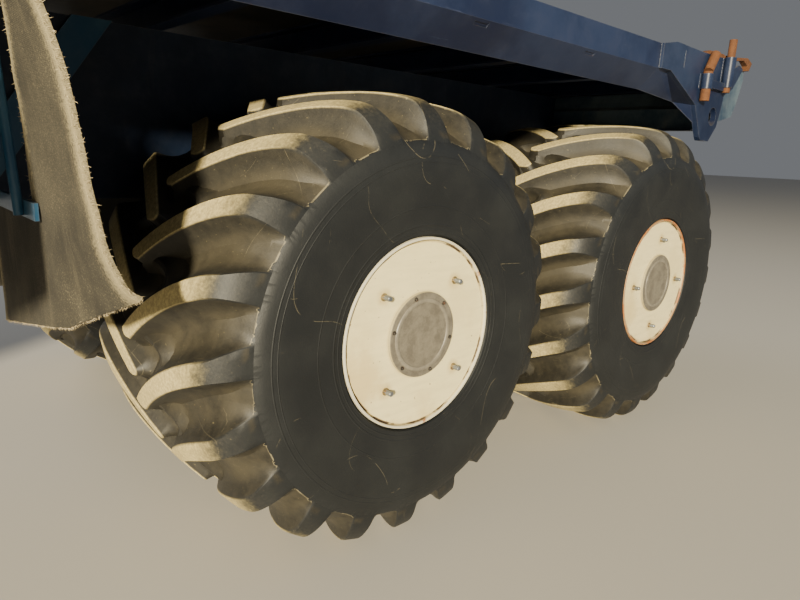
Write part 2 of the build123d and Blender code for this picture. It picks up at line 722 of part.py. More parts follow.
def tandem_suspension():
    """Walking beams over the two axles, carried at mid length by the trunnion."""
    middle = (FRONT_TANDEM_X + REAR_TANDEM_X) / 2
    beam = [
        (REAR_TANDEM_X - 180, AXLE_Z - 130),
        (REAR_TANDEM_X + 180, AXLE_Z - 150),
        (middle, AXLE_Z - 60),
        (FRONT_TANDEM_X - 180, AXLE_Z - 150),
        (FRONT_TANDEM_X + 180, AXLE_Z - 130),
        (FRONT_TANDEM_X + 180, AXLE_Z + 130),
        (middle + 300, AXLE_Z + 240),
        (middle - 300, AXLE_Z + 240),
        (REAR_TANDEM_X - 180, AXLE_Z + 130),
    ]
    hanger = [
        (middle - 130, AXLE_Z + 60),
        (middle + 130, AXLE_Z + 60),
        (middle + 380, FRAME_BOTTOM),
        (middle - 380, FRAME_BOTTOM),
    ]
    inner = FRAME_HALF - FRAME_RAIL_WIDTH
    side = side_prism(beam, inner, FRAME_HALF, 45) + side_prism(hanger, inner, FRAME_HALF)
    side += rod_y(middle, inner - 25, FRAME_HALF + 25, AXLE_Z + 140, 105)
    beams = both(side) + rod_y(middle, -FRAME_HALF, FRAME_HALF, AXLE_Z + 140, 70)
    for x in (REAR_TANDEM_X, FRONT_TANDEM_X):
        beams -= rod_y(x, -FRAME_HALF - 1, FRAME_HALF + 1, AXLE_Z, AXLE_TUBE_R)
    return beams


def mud_flaps():
    """Heavy belting lofted between three hanging lines: a strip above, a wide apron below the slit."""
    sections = []
    for y, line in FLAP_LINES:
        front = [(FRONT_TANDEM_X + dx + FLAP / 2, y, DECK_TOP - drop) for dx, drop in line]
        rear = [(x - FLAP, y, z) for x, y, z in reversed(front)]
        sections.append(make_face(Polyline(*front, *rear, close=True)))
    flap = loft(sections, ruled=True)
    slit = DECK_TOP - FLAP_SLIT_DROP
    neck = [(y, DECK_TOP - drop) for y, drop in reversed(FLAP_NECK)]
    cut = [(0, slit)] + neck + [(0, neck[-1][1])]
    flap -= long_prism(cut, FRONT_TANDEM_X + 900, FRONT_TANDEM_X + 1300)
    return both(flap)


def flap_hangers():
    """What carries a flap: hanger bar, round stay, the flat bar over the apron and a brace up to the deck."""
    x0 = FRONT_TANDEM_X
    x = x0 + FLAP_LINES[0][1][0][0]
    top = DECK_TOP - FLAP_LINES[0][1][0][1]
    inner = DECK_HALF - RAIL_CHAMFER - PLATE
    slit = DECK_TOP - FLAP_SLIT_DROP
    frame = block(x - HANGER / 2, x + HANGER / 2, FRAME_HALF, inner, top, top + HANGER)
    bar_x = x0 + FLAT_BAR_X
    frame += block(bar_x, bar_x + FLAT_BAR, FRAME_HALF, FLAT_BAR_END_Y, slit, slit + FLAT_BAR_HEIGHT)
    stay_foot = (bar_x + FLAT_BAR + STAY_R - 2, STAY_Y, slit + 5)
    frame += slant_rod(stay_foot, (x - HANGER / 2, STAY_Y, top + HANGER / 2), STAY_R)
    foot = slit + FLAT_BAR_HEIGHT
    run = BRACE_FOOT_X - BRACE_TOP_X
    across = BRACE_WIDTH * math.hypot(run, FRAME_TOP - foot) / (FRAME_TOP - foot)
    brace = [
        (x0 + BRACE_TOP_X, FRAME_TOP),
        (x0 + BRACE_TOP_X + across, FRAME_TOP),
        (x0 + BRACE_FOOT_X + across, foot),
        (x0 + BRACE_FOOT_X, foot),
    ]
    frame += side_prism(brace, FRAME_HALF, FRAME_HALF + BRACE)
    return both(frame)


def tool_box():
    """A folded steel locker with rounded edges and two raised doors."""
    x0 = FRONT_TANDEM_X + BOX_REAR
    x1 = FRONT_TANDEM_X + BOX_FRONT
    outline = [(FRAME_HALF, BOX_BOTTOM), (BOX_OUT, BOX_BOTTOM), (BOX_OUT, BOX_TOP), (FRAME_HALF, BOX_TOP)]
    box = long_prism(outline, x0, x1, BOX_CORNER)
    bay = (x1 - x0) / BOX_DOORS
    for i in range(BOX_DOORS):
        start = x0 + i * bay
        door_edge = [
            (start + 40, BOX_BOTTOM + 60),
            (start + bay - 40, BOX_BOTTOM + 60),
            (start + bay - 40, BOX_TOP - 60),
            (start + 40, BOX_TOP - 60),
        ]
        box += side_prism(door_edge, BOX_OUT, BOX_OUT + BOX_DOOR, 25)
    return box


def fuel_tank():
    """A round tank with domed ends on the right side, strapped down on two cradles, with its filler."""
    x0 = FRONT_TANDEM_X + BOX_REAR
    x1 = FRONT_TANDEM_X + BOX_FRONT
    z = (BOX_BOTTOM + BOX_TOP) / 2
    y = -(BOX_OUT - TANK_R)
    flat, bent = TANK_FACE
    profile = [
        (x0, 0),
        (x0, TANK_R * flat),
        (x0 + TANK_DOME / 3, TANK_R * bent),
        (x0 + TANK_DOME, TANK_R),
        (x1 - TANK_DOME, TANK_R),
        (x1 - TANK_DOME / 3, TANK_R * bent),
        (x1, TANK_R * flat),
        (x1, 0),
    ]
    half = make_face(Polyline(*[(x, 0, r) for x, r in profile], close=True))
    tank = Pos(0, y, z) * revolve(half, axis=Axis.X)
    for x in (x0 + 200, x1 - 280):
        tank += rod_x(x, x + 80, y, z, TANK_R + TANK_STRAP)
        tank += block(x, x + 80, y, -FRAME_HALF, z - TANK_R - 20, z - 60)
    tank += rod_z(x0 + 420, y - TANK_R / 3, z, z + TANK_R + 20, FILLER_R)
    return tank


def headboard():
    """The guard at the deck's front: a sill ahead of the deck plate, posts, top bar and slats."""
    x0 = DECK_FRONT_X - HEADBOARD_TUBE
    x1 = DECK_FRONT_X
    sill = DECK_HALF - RAIL_FLANGE
    board = block(x0, x1, -sill, sill, DECK_TOP - DECK_PLATE, DECK_TOP)
    board += block(x0, x1, -HEADBOARD_HALF, HEADBOARD_HALF, HEADBOARD_TOP - HEADBOARD_TUBE, HEADBOARD_TOP)
    for y in (-HEADBOARD_HALF, -HEADBOARD_BAY, HEADBOARD_BAY - HEADBOARD_TUBE, HEADBOARD_HALF - HEADBOARD_TUBE):
        board += block(x0, x1, y, y + HEADBOARD_TUBE, DECK_TOP, HEADBOARD_TOP)
    inset = (HEADBOARD_TUBE - 20) / 2
    clear = HEADBOARD_TOP - HEADBOARD_TUBE - DECK_TOP
    for i in range(SLAT_COUNT):
        z = DECK_TOP + (i + 1) * clear / (SLAT_COUNT + 1) - SLAT / 2
        board += block(x0 + inset, x1 - inset, -HEADBOARD_HALF, HEADBOARD_HALF, z, z + SLAT)
    return board


def pivot_yoke():
    """Rolls in the nose on a shaft; its upright pin carries the front frame."""
    half = CLEVIS_GAP / 2
    x0 = PIVOT_X
    nose = DECK_FRONT_X + END_GAP
    yoke = rod_x(nose - ROLL_SHAFT_LENGTH, nose + 20, 0, PIVOT_Z, ROLL_SHAFT_R)
    yoke += rod_x(nose, nose + 45, 0, PIVOT_Z, ROLL_SHAFT_R + 70)
    yoke += block(nose + 20, x0, -90, 90, PIVOT_Z - 190, PIVOT_Z + 190)
    yoke += rod_z(x0, 0, PIVOT_Z - half + YOKE_END_GAP, PIVOT_Z + half - YOKE_END_GAP, YOKE_BARREL_R)
    yoke += rod_z(x0, 0, PIVOT_Z - half - CLEVIS_PLATE - 15, PIVOT_Z + half + CLEVIS_PLATE + 15, STEER_PIN_R)
    gap = EYE_HEIGHT / 2 + EAR_GAP
    for z in (CYL_Z - gap - EAR, CYL_Z + gap):
        base = x0 + CYL_BASE[0]
        yoke += block(base - 70, base, -CYL_BASE[1] - YOKE_EAR_R, CYL_BASE[1] + YOKE_EAR_R, z, z + EAR)
        yoke += both(rod_z(base, CYL_BASE[1], z, z + EAR, YOKE_EAR_R))
    for side in (LEFT, RIGHT):
        y = side * CYL_BASE[1]
        yoke += rod_z(x0 + CYL_BASE[0], y, CYL_Z - gap - EAR, CYL_Z + gap + EAR, CYL_PIN_R)
    return yoke


def steering_barrel(side):
    """Cylinder barrel with its base eye on the yoke's pin."""
    x = PIVOT_X + CYL_BASE[0]
    y = side * CYL_BASE[1]
    barrel = rod_x(x + EYE_R - 5, x + BARREL_LENGTH, y, CYL_Z, CYL_R)
    barrel += rod_x(x + BARREL_LENGTH - 60, x + BARREL_LENGTH - 15, y, CYL_Z, CYL_R + 8)
    barrel += rod_z(x, y, CYL_Z - EYE_HEIGHT / 2, CYL_Z + EYE_HEIGHT / 2, EYE_R)
    barrel -= rod_z(x, y, CYL_Z - 99, CYL_Z + 99, CYL_PIN_R + RUNNING_GAP)
    barrel -= rod_x(x + EYE_R + 15, x + BARREL_LENGTH + 1, y, CYL_Z, ROD_R + RUNNING_GAP)
    return barrel


def steering_rod(side):
    """Piston rod with its eye between the front frame's ears; no pin passes through it."""
    x = PIVOT_X + CYL_EYE[0]
    y = side * CYL_EYE[1]
    rod = rod_x(x - ROD_LENGTH, x - EYE_R + 12, y, CYL_Z, ROD_R)
    rod += rod_z(x, y, CYL_Z - EYE_HEIGHT / 2, CYL_Z + EYE_HEIGHT / 2, EYE_R)
    return rod


def front_rails():
    """The front frame: rails, the throat and the clevis around the steering pin."""
    half = CLEVIS_GAP / 2
    x0 = PIVOT_X
    outer = FRONT_RAIL_HALF
    inner = outer - FRONT_RAIL_WIDTH
    z0 = FRONT_RAIL_BOTTOM
    z1 = FRONT_RAIL_TOP
    frame = both(channel(outer, FRONT_RAIL_WIDTH, FRONT_WEB, FRONT_WEB, z0, z1, FRONT_RAIL_REAR, BUMPER_REAR_X))
    throat = FRONT_RAIL_REAR + 100
    web = outer - FRONT_WEB
    frame += block(FRONT_RAIL_REAR, throat, -web, web, z0, z1)
    low = PIVOT_Z - half - CLEVIS_PLATE
    frame += block(FRONT_RAIL_REAR, throat, -THROAT_HALF, THROAT_HALF, low, z0)
    for z in (low, PIVOT_Z + half):
        plate = block(x0, FRONT_RAIL_REAR, -THROAT_HALF, THROAT_HALF, z, z + CLEVIS_PLATE)
        plate += rod_z(x0, 0, z, z + CLEVIS_PLATE, 170)
        frame += plate
    frame -= rod_z(x0, 0, low - 1, PIVOT_Z + half + CLEVIS_PLATE + 1, STEER_PIN_R + RUNNING_GAP)
    gap = EYE_HEIGHT / 2 + EAR_GAP
    eye = x0 + CYL_EYE[0]
    for side in (LEFT, RIGHT):
        y0 = side * inner
        y1 = side * (outer + 10)
        frame += block(eye - 50, eye + 150, y0, y1, CYL_Z + gap, CYL_Z + gap + EAR)
        frame += block(eye - 50, eye + 150, y0, y1, CYL_Z - gap - EAR, CYL_Z - gap)
        frame += block(eye + 110, eye + 150, y0, y1, CYL_Z - gap - EAR, FRONT_RAIL_BOTTOM)
    for x in (HOOD_REAR_X + 20, HOOD_FRONT_X - 100, CAB_REAR_X + 60, BUMPER_REAR_X - 130):
        reach = HOOD_HALF if x < CAB_REAR_X else CAB_HALF - 100
        top = FRONT_RAIL_TOP
        if x > CAB_REAR_X:
            reach = outer
            top = CAB_FLOOR
        frame += block(x, x + 80, -reach, reach, FRONT_RAIL_TOP - 90, top)
    return frame


def front_axle():
    """The front drive axle with its springs clamped on top, and its shaft back to the throat."""
    shape = axle(FRONT_AXLE_X, BEHIND)
    shape += rod_x(FRONT_RAIL_REAR + 100, FRONT_AXLE_X, 0, AXLE_Z, PROP_R)
    for x in (FRONT_RAIL_REAR + 160, FRONT_AXLE_X - PINION_REACH):
        shape += rod_x(x - 60, x + 60, 0, AXLE_Z, PROP_R + 25)
    inner = FRONT_RAIL_HALF - FRONT_RAIL_WIDTH
    x = FRONT_AXLE_X
    top = FRONT_RAIL_BOTTOM - SPRING_DROP
    springs = block(x - 80, x + 80, inner, FRONT_RAIL_HALF, AXLE_Z, top - SPRING_LEAF)
    for i, half in enumerate(SPRING_HALVES):
        z = top - i * SPRING_LEAF
        springs += block(x - half, x + half, inner, FRONT_RAIL_HALF, z - SPRING_LEAF, z)
    end = SPRING_HALVES[0]
    for x0 in (x - end, x + end - 60):
        springs += block(x0, x0 + 60, inner, FRONT_RAIL_HALF, top, FRONT_RAIL_BOTTOM)
    return shape + both(springs)


def engine_block():
    """The engine as one plain block, on four feet between the rails."""
    inner = FRONT_RAIL_HALF - FRONT_WEB
    half = ENGINE_WIDTH / 2
    shape = block(ENGINE_REAR_X, ENGINE_FRONT_X, -half, half, ENGINE_BOTTOM, ENGINE_TOP)
    for x in (ENGINE_REAR_X + 150, ENGINE_FRONT_X - 250):
        shape += both(block(x, x + 100, half, inner, ENGINE_BOTTOM + 120, ENGINE_BOTTOM + 240))
    return shape


def engine_hood():
    """A deep cover over the engine, lofted to a lower rear end: open below, louvred, with a barred grille."""
    hood = hood_body(0, HOOD_REAR_X, HOOD_FRONT_X)
    hood -= hood_body(HOOD_WALL, HOOD_REAR_X + HOOD_WALL, HOOD_FRONT_X - HOOD_WALL)
    half = HOOD_HALF - RADIATOR_EDGE
    low = HOOD_BOTTOM + RADIATOR_EDGE
    high = HOOD_TOP - HOOD_SLOPE - RADIATOR_EDGE
    hood -= block(HOOD_REAR_X - 1, HOOD_REAR_X + HOOD_WALL + 1, -half, half, low, high)
    pitch = (high - low) / (RADIATOR_BARS + 1)
    for i in range(RADIATOR_BARS):
        z = low + (i + 1) * pitch - RADIATOR_BAR / 2
        hood += block(HOOD_REAR_X + 6, HOOD_REAR_X + HOOD_WALL - 6, -half, half, z, z + RADIATOR_BAR)
    first = (HOOD_REAR_X + HOOD_FRONT_X - (LOUVRES - 1) * LOUVRE_PITCH) / 2
    middle = (HOOD_BOTTOM + HOOD_TOP - HOOD_SLOPE - HOOD_CHAMFER) / 2 + 40
    slots = None
    low = middle - LOUVRE_HEIGHT / 2
    for i in range(LOUVRES):
        x = first + i * LOUVRE_PITCH
        slot = block(x, x + LOUVRE_WIDTH, HOOD_HALF - HOOD_WALL - 1, HOOD_HALF + 1, low, low + LOUVRE_HEIGHT)
        slots = slot if slots is None else slots + slot
    return hood - both(slots)


def hood_body(wall, x0, x1):
    """The hood's outer form, or its inside where a wall is given, lofted from its rear section to its front."""
    half = HOOD_HALF - wall
    slope = HOOD_SLOPE / (HOOD_FRONT_X - HOOD_REAR_X)
    corner = HOOD_CHAMFER - wall * (2 - math.sqrt(2))
    sections = []
    for x in (x0, x1):
        roof = HOOD_TOP - wall - slope * (HOOD_FRONT_X - x)
        outline = [
            (x, -half, HOOD_BOTTOM),
            (x, -half, roof - corner),
            (x, corner - half, roof),
            (x, half - corner, roof),
            (x, half, roof - corner),
            (x, half, HOOD_BOTTOM),
        ]
        sections.append(make_face(Polyline(*outline, close=True)))
    return loft(sections, ruled=True)


def windscreen(depth, y0, y1):
    """A slab that follows the raked front wall, of the given depth, centred in the wall."""
    run = CAB_ROOF - CAB_BELT
    slope = math.hypot(run, CAB_RAKE)
    normal = (run / slope, CAB_RAKE / slope)
    outline = []
    for z, sign in ((CAB_BELT + 70, 1), (CAB_ROOF - 90, 1), (CAB_ROOF - 90, -1), (CAB_BELT + 70, -1)):
        x = CAB_FRONT_X - CAB_WALL / 2 - (z - CAB_BELT) * CAB_RAKE / run
        outline.append((x + sign * normal[0] * depth / 2, z + sign * normal[1] * depth / 2))
    return side_prism(outline, y0, y1)


def door_outline(gap):
    """The door seen from the side, grown by the gap all round."""
    return [
        (DOOR_REAR_X - gap, DOOR_BOTTOM - gap),
        (DOOR_FRONT_X + gap, DOOR_BOTTOM - gap),
        (DOOR_FRONT_X + gap, DOOR_TOP + gap),
        (DOOR_REAR_X - gap, DOOR_TOP + gap),
    ]


def door_window():
    return [
        (DOOR_REAR_X + WINDOW_EDGE, CAB_BELT),
        (DOOR_FRONT_X - WINDOW_EDGE, CAB_BELT),
        (DOOR_FRONT_X - WINDOW_EDGE, DOOR_TOP - WINDOW_EDGE),
        (DOOR_REAR_X + WINDOW_EDGE, DOOR_TOP - WINDOW_EDGE),
    ]


REAR_WINDOW = (CAB_BELT + 160, CAB_ROOF - 200)
REAR_WINDOW_HALF = 700
HINGE_Z = (DOOR_BOTTOM + 200, DOOR_TOP - 240)
HINGE_X = DOOR_FRONT_X + DOOR_GAP / 2
HINGE_Y = CAB_HALF + HINGE_OUT


def cab_shell():
    """Floor, walls and roof of the cab, open at the doors and windows."""
    outline = [
        (CAB_REAR_X, CAB_FLOOR),
        (CAB_FRONT_X, CAB_FLOOR),
        (CAB_FRONT_X, CAB_BELT),
        (CAB_FRONT_X - CAB_RAKE, CAB_ROOF),
        (CAB_REAR_X, CAB_ROOF),
    ]
    roof = CAB_ROOF - CAB_WALL
    rake = CAB_RAKE * (roof - CAB_BELT) / (CAB_ROOF - CAB_BELT)
    room = [
        (CAB_REAR_X + CAB_WALL, CAB_FLOOR + CAB_WALL),
        (CAB_FRONT_X - CAB_WALL, CAB_FLOOR + CAB_WALL),
        (CAB_FRONT_X - CAB_WALL, CAB_BELT),
        (CAB_FRONT_X - CAB_WALL - rake, roof),
        (CAB_REAR_X + CAB_WALL, roof),
    ]
    inner = CAB_HALF - CAB_WALL
    body = side_prism(outline, -CAB_HALF, CAB_HALF)
    side_edges = [edge for edge in body.edges() if abs(abs(edge.center().Y) - CAB_HALF) < 1]
    sill = min(edge.center().Z for edge in side_edges)
    body = fillet([edge for edge in side_edges if edge.center().Z > sill + 1], CAB_EDGE_R)
    half = CAB_HALF - CAB_EDGE_R - PRESSING_EDGE
    pressing = [
        (-half, CAB_FLOOR + PRESSING_EDGE),
        (half, CAB_FLOOR + PRESSING_EDGE),
        (half, CAB_BELT - PRESSING_EDGE),
        (-half, CAB_BELT - PRESSING_EDGE),
    ]
    body -= long_prism(pressing, CAB_FRONT_X - PRESSING, CAB_FRONT_X + 1, PRESSING_CORNER)
    shell = body - side_prism(room, -inner, inner)
    shell -= side_prism(door_outline(DOOR_GAP), -CAB_HALF - 1, CAB_HALF + 1, DOOR_CORNER)
    shell -= both(windscreen(250, 35, CAB_HALF - 110))
    shell -= block(CAB_REAR_X - 1, CAB_REAR_X + CAB_WALL + 1, -REAR_WINDOW_HALF, REAR_WINDOW_HALF, *REAR_WINDOW)
    for z in HINGE_Z:
        for end in (z - 30 - 1, z + HINGE_LENGTH + 1):
            shell += both(block(HINGE_X - 12, HINGE_X + 70, CAB_HALF, HINGE_Y + 14, end, end + 30) -
                          block(HINGE_X - 99, HINGE_X, CAB_HALF - 1, CAB_HALF + 4, end, end + 30))
        shell += both(rod_z(HINGE_X, HINGE_Y, z - 31, z + HINGE_LENGTH + 31, HINGE_PIN_R))
    return shell


def cab_glass():
    glass = both(windscreen(PANE, 35, CAB_HALF - 110))
    mid = CAB_REAR_X + CAB_WALL / 2
    return glass + block(mid - PANE / 2, mid + PANE / 2, -REAR_WINDOW_HALF, REAR_WINDOW_HALF, *REAR_WINDOW)


def door(side):
    """A cab door with its window opening and the two hinge knuckles."""
    y0 = CAB_HALF - CAB_WALL
    panel = side_prism(door_outline(0), y0, CAB_HALF, DOOR_CORNER - DOOR_GAP)
    panel -= side_prism(door_window(), y0 - 1, CAB_HALF + 1, WINDOW_CORNER)
    pressing = [
        (DOOR_REAR_X + PRESSING_EDGE, DOOR_BOTTOM + PRESSING_EDGE),
        (DOOR_FRONT_X - PRESSING_EDGE, DOOR_BOTTOM + PRESSING_EDGE),
        (DOOR_FRONT_X - PRESSING_EDGE, CAB_BELT - PRESSING_EDGE),
        (DOOR_REAR_X + PRESSING_EDGE, CAB_BELT - PRESSING_EDGE),
    ]
    panel -= side_prism(pressing, CAB_HALF - PRESSING, CAB_HALF + 1, PRESSING_CORNER)
    for z in HINGE_Z:
        panel += block(HINGE_X - 80, HINGE_X - 4, CAB_HALF, CAB_HALF + 10, z, z + HINGE_LENGTH)
        panel += rod_z(HINGE_X, HINGE_Y, z, z + HINGE_LENGTH, HINGE_R)
        panel += block(HINGE_X - 24, HINGE_X - 4, CAB_HALF + 4, HINGE_Y + 8, z, z + HINGE_LENGTH)
        panel -= rod_z(HINGE_X, HINGE_Y, z - 1, z + HINGE_LENGTH + 1, HINGE_PIN_R + RUNNING_GAP)
    return panel if side == LEFT else mirror(panel, about=Plane.XZ)


def door_glass(side):
    mid = side * (CAB_HALF - CAB_WALL / 2)
    return side_prism(door_window(), mid - PANE / 2, mid + PANE / 2, WINDOW_CORNER)


def cab_seats():
    floor = CAB_FLOOR + CAB_WALL
    top = floor + SEAT_HEIGHT
    under = top - CUSHION
    x0 = CAB_REAR_X + SEAT_FROM_WALL
    x1 = x0 + SEAT_LENGTH
    y0 = SEAT_Y - SEAT_HALF
    y1 = SEAT_Y + SEAT_HALF
    seat = block(x0, x1, y0, y1, under, top)
    inset = PEDESTAL_INSET
    seat += block(x0 + inset, x1 - inset, y0 + inset, y1 - inset, floor, under)
    back = [
        (x0, top),
        (x0 + BACK_THICK, top),
        (x0 + BACK_THICK - BACK_LEAN, floor + BACK_TOP),
        (x0 - BACK_LEAN, floor + BACK_TOP),
    ]
    return both(seat + side_prism(back, y0 + 10, y1 - 10))


def dashboard():
    """Dash across the cab, with the column and the steering wheel on the left."""
    floor = CAB_FLOOR + CAB_WALL
    front = CAB_FRONT_X - CAB_WALL
    outline = [
        (front, floor),
        (front, CAB_BELT - 20),
        (front - DASH_SHELF, CAB_BELT - 60),
        (front - DASH_DEPTH, floor + 420),
        (front - DASH_KNEE, floor + 380),
        (front - DASH_KNEE, floor),
    ]
    dash = side_prism(outline, -DASH_HALF, DASH_HALF)
    hub = (CAB_REAR_X + WHEEL_FROM_WALL, SEAT_Y, CAB_BELT - 80)
    column = slant_rod((front - 100, SEAT_Y, floor + 330), hub, 28)
    tilted = Plane(origin=hub, z_dir=(-0.72, 0, 0.69))
    ring = tilted * Torus(STEER_WHEEL_R, 13)
    spokes = tilted * (Box(2 * STEER_WHEEL_R, 26, 12) + Cylinder(45, 20))
    return dash + column + ring + spokes


def front_fenders():
    """Arched plates over the front tyres with rolled outer lips, welded to the hood's sides."""
    r0 = TYRE_OD / 2 + FENDER_GAP
    y1 = WHEEL_Y + TYRE_WIDTH / 2
    reach = r0 + FENDER
    section = [
        (r0, HOOD_HALF),
        (reach, HOOD_HALF),
        (reach, y1 - FENDER),
        (reach - FENDER, y1),
        (reach - FENDER_LIP, y1),
        (reach - FENDER_LIP, y1 - FENDER),
        (r0, y1 - FENDER - 8),
    ]
    ring = Pos(FRONT_AXLE_X, 0, AXLE_Z) * turned(section)
    ring &= block(FRONT_AXLE_X - reach, FRONT_AXLE_X + reach, HOOD_HALF, y1, AXLE_Z + FENDER_END, CAB_FLOOR)
    return both(ring)


def cab_steps():
    """Ladder steps ahead of the front tyres, hung on the front frame."""
    x0 = DOOR_REAR_X + 260
    x1 = DOOR_FRONT_X + 80
    inner = STEP_OUTER_Y - STEP_DEPTH
    shape = block(x0, x1, FRONT_RAIL_HALF, STEP_OUTER_Y, STEP_TOP - 50, STEP_TOP)
    for i in range(STEP_COUNT):
        z = STEP_BOTTOM + STEP_RISE * i
        shape += block(x0, x1, inner, STEP_OUTER_Y, z, z + STEP_TREAD)
    for x in (x0, x1 - STEP_TREAD):
        shape += block(x, x + STEP_TREAD, inner, STEP_OUTER_Y, STEP_BOTTOM, STEP_TOP)
    return both(shape)


def exhaust_stack():
    """A silencer with coned ends on the hood, and its pipe, bent back over the deck at the top."""
    x = HOOD_FRONT_X - 205
    y = -(HOOD_HALF - HOOD_CHAMFER - STACK_R - 10)
    foot = HOOD_TOP - HOOD_SLOPE
    top = HOOD_TOP + STACK_HEIGHT
    profile = [
        (0, foot),
        (TAILPIPE_R, foot),
        (TAILPIPE_R, HOOD_TOP + 30),
        (STACK_R, HOOD_TOP + 80),
        (STACK_R, top - 50),
        (TAILPIPE_R, top),
        (0, top),
    ]
    half = make_face(Polyline(*[(r, 0, z) for r, z in profile], close=True))
    stack = Pos(x, y, 0) * revolve(half, axis=Axis.Z) - PARTS["engine_hood"]
    stack -= block(x - 99, x + 99, y - 99, y + 99, foot - 1, HOOD_TOP - HOOD_WALL)
    bend = CAB_ROOF + 20
    mouth = (x - TAILPIPE_BEND, y, bend + TAILPIPE_BEND)
    elbow = Line((x, y, top - 10), (x, y, bend)) + RadiusArc((x, y, bend), mouth, -TAILPIPE_BEND)
    pipe = sweep(Plane(origin=(x, y, top - 10)) * Circle(TAILPIPE_R - 4), path=elbow)
    return stack + pipe


def front_bumper():
    """A deep beam with bevelled ends, and the nose panel above it with its slots."""
    x0 = BUMPER_REAR_X
    sweep_y = BUMPER_HALF - BUMPER_SWEEP
    outline = [
        (x0, -BUMPER_HALF),
        (NOSE_X - BUMPER_TAPER, -BUMPER_HALF),
        (NOSE_X, -sweep_y),
        (NOSE_X, sweep_y),
        (NOSE_X - BUMPER_TAPER, BUMPER_HALF),
        (x0, BUMPER_HALF),
    ]
    beam = plan_prism(outline, BUMPER_BOTTOM, BUMPER_TOP)
    panel = block(x0, x0 + NOSE_PANEL, -NOSE_PANEL_HALF, NOSE_PANEL_HALF, BUMPER_TOP, CAB_FLOOR)
    pitch = (CAB_FLOOR - BUMPER_TOP) / (GRILLE_SLOTS + 1)
    for i in range(GRILLE_SLOTS):
        z = BUMPER_TOP + (i + 1) * pitch
        slot = [
            (-GRILLE_HALF, z - GRILLE_SLOT / 2),
            (GRILLE_HALF, z - GRILLE_SLOT / 2),
            (GRILLE_HALF, z + GRILLE_SLOT / 2),
            (-GRILLE_HALF, z + GRILLE_SLOT / 2),
        ]
        panel -= long_prism(slot, x0 - 1, x0 + NOSE_PANEL + 1, GRILLE_SLOT / 2 - 1)
    return beam + panel


def headlamps():
    """Round lamps in raised rims, two on each side of the grille."""
    x0 = BUMPER_REAR_X + NOSE_PANEL
    z = BUMPER_TOP + 300
    lamps = None
    for y in HEADLAMP_Y:
        lamp = rod_x(x0, x0 + 35, y, z, LAMP_R) + rod_x(x0, x0 + 20, y, z, LAMP_R + LAMP_RIM)
        lamps = lamp if lamps is None else lamps + lamp
    return both(lamps)


def tail_lamps():
    x = TAIL_FACE_X + 8
    drop, rise = LAMP_DROP
    return both(block(x - 10, x + 20, *LAMP_Y, DECK_TOP - drop, DECK_TOP - rise) - tail_form())


def mirrors():
    x = DOOR_FRONT_X + 120
    low = CAB_BELT - 50
    high = CAB_ROOF - 430
    outline = [
        (CAB_HALF + 170, low - 30),
        (CAB_HALF + 350, low - 30),
        (CAB_HALF + 350, high + 30),
        (CAB_HALF + 170, high + 30),
    ]
    head = long_prism(outline, x + 40, x + 80, 40)
    for z in (low, high):
        head += slant_rod((x, CAB_HALF - 5, z), (x + 60, CAB_HALF + 260, z), 12)
    return both(head - block(x - 100, x + 200, 0, CAB_HALF, CAB_FLOOR, CAB_ROOF))


PARTS = {}
# Axle, its place, and how far its covers' bolts are turned at rest, in degrees
AXLES = (("front", FRONT_AXLE_X, 20), ("middle", FRONT_TANDEM_X, 41), ("rear", REAR_TANDEM_X, 0))
for end, x, bolt_turn in AXLES:
    for name, side in SIDES:
        place = Pos(x, side * WHEEL_Y, AXLE_Z)
        PARTS[f"tyre_{end}_{name}"] = place * tyre(side)
        PARTS[f"wheel_{end}_{name}"] = place * wheel(side, bolt_turn)

PARTS["deck_frame"] = deck_frame()
PARTS["deck_plate"] = deck_plate()
PARTS["rear_rails"] = rear_rails()
PARTS["rear_corner_brackets"] = both(rear_corner())
PARTS["corner_pins"] = corner_pins()
PARTS["rear_beam"] = rear_beam()
PARTS["tandem_drive"] = tandem_drive()
PARTS["tandem_suspension"] = tandem_suspension()
PARTS["mud_flaps"] = mud_flaps()
PARTS["flap_hangers"] = flap_hangers()
PARTS["tool_box"] = tool_box()
PARTS["fuel_tank"] = fuel_tank()
PARTS["headboard"] = headboard()
PARTS["tail_lamps"] = tail_lamps()
PARTS["pivot_yoke"] = pivot_yoke()
PARTS["front_rails"] = front_rails()
PARTS["front_axle"] = front_axle()
PARTS["engine_block"] = engine_block()
PARTS["engine_hood"] = engine_hood()
PARTS["exhaust_stack"] = exhaust_stack()
PARTS["front_fenders"] = front_fenders()
PARTS["cab_steps"] = cab_steps()
PARTS["front_bumper"] = front_bumper()
PARTS["headlamps"] = headlamps()
PARTS["cab_shell"] = cab_shell()
PARTS["cab_glass"] = cab_glass()
PARTS["cab_seats"] = cab_seats()
PARTS["dashboard"] = dashboard()
PARTS["mirrors"] = mirrors()
for name, side in SIDES:
    PARTS[f"steering_barrel_{name}"] = steering_barrel(side)
    PARTS[f"steering_rod_{name}"] = steering_rod(side)
    PARTS[f"door_{name}"] = door(side)
    PARTS[f"door_glass_{name}"] = door_glass(side)

os.makedirs("parts", exist_ok=True)
for name, shape in PARTS.items():
    export_step(shape, f"parts/{name}.step")
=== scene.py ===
# %% The frame of the truck
import math
import random

import bmesh
import bpy
from mathutils import Matrix, Vector, noise


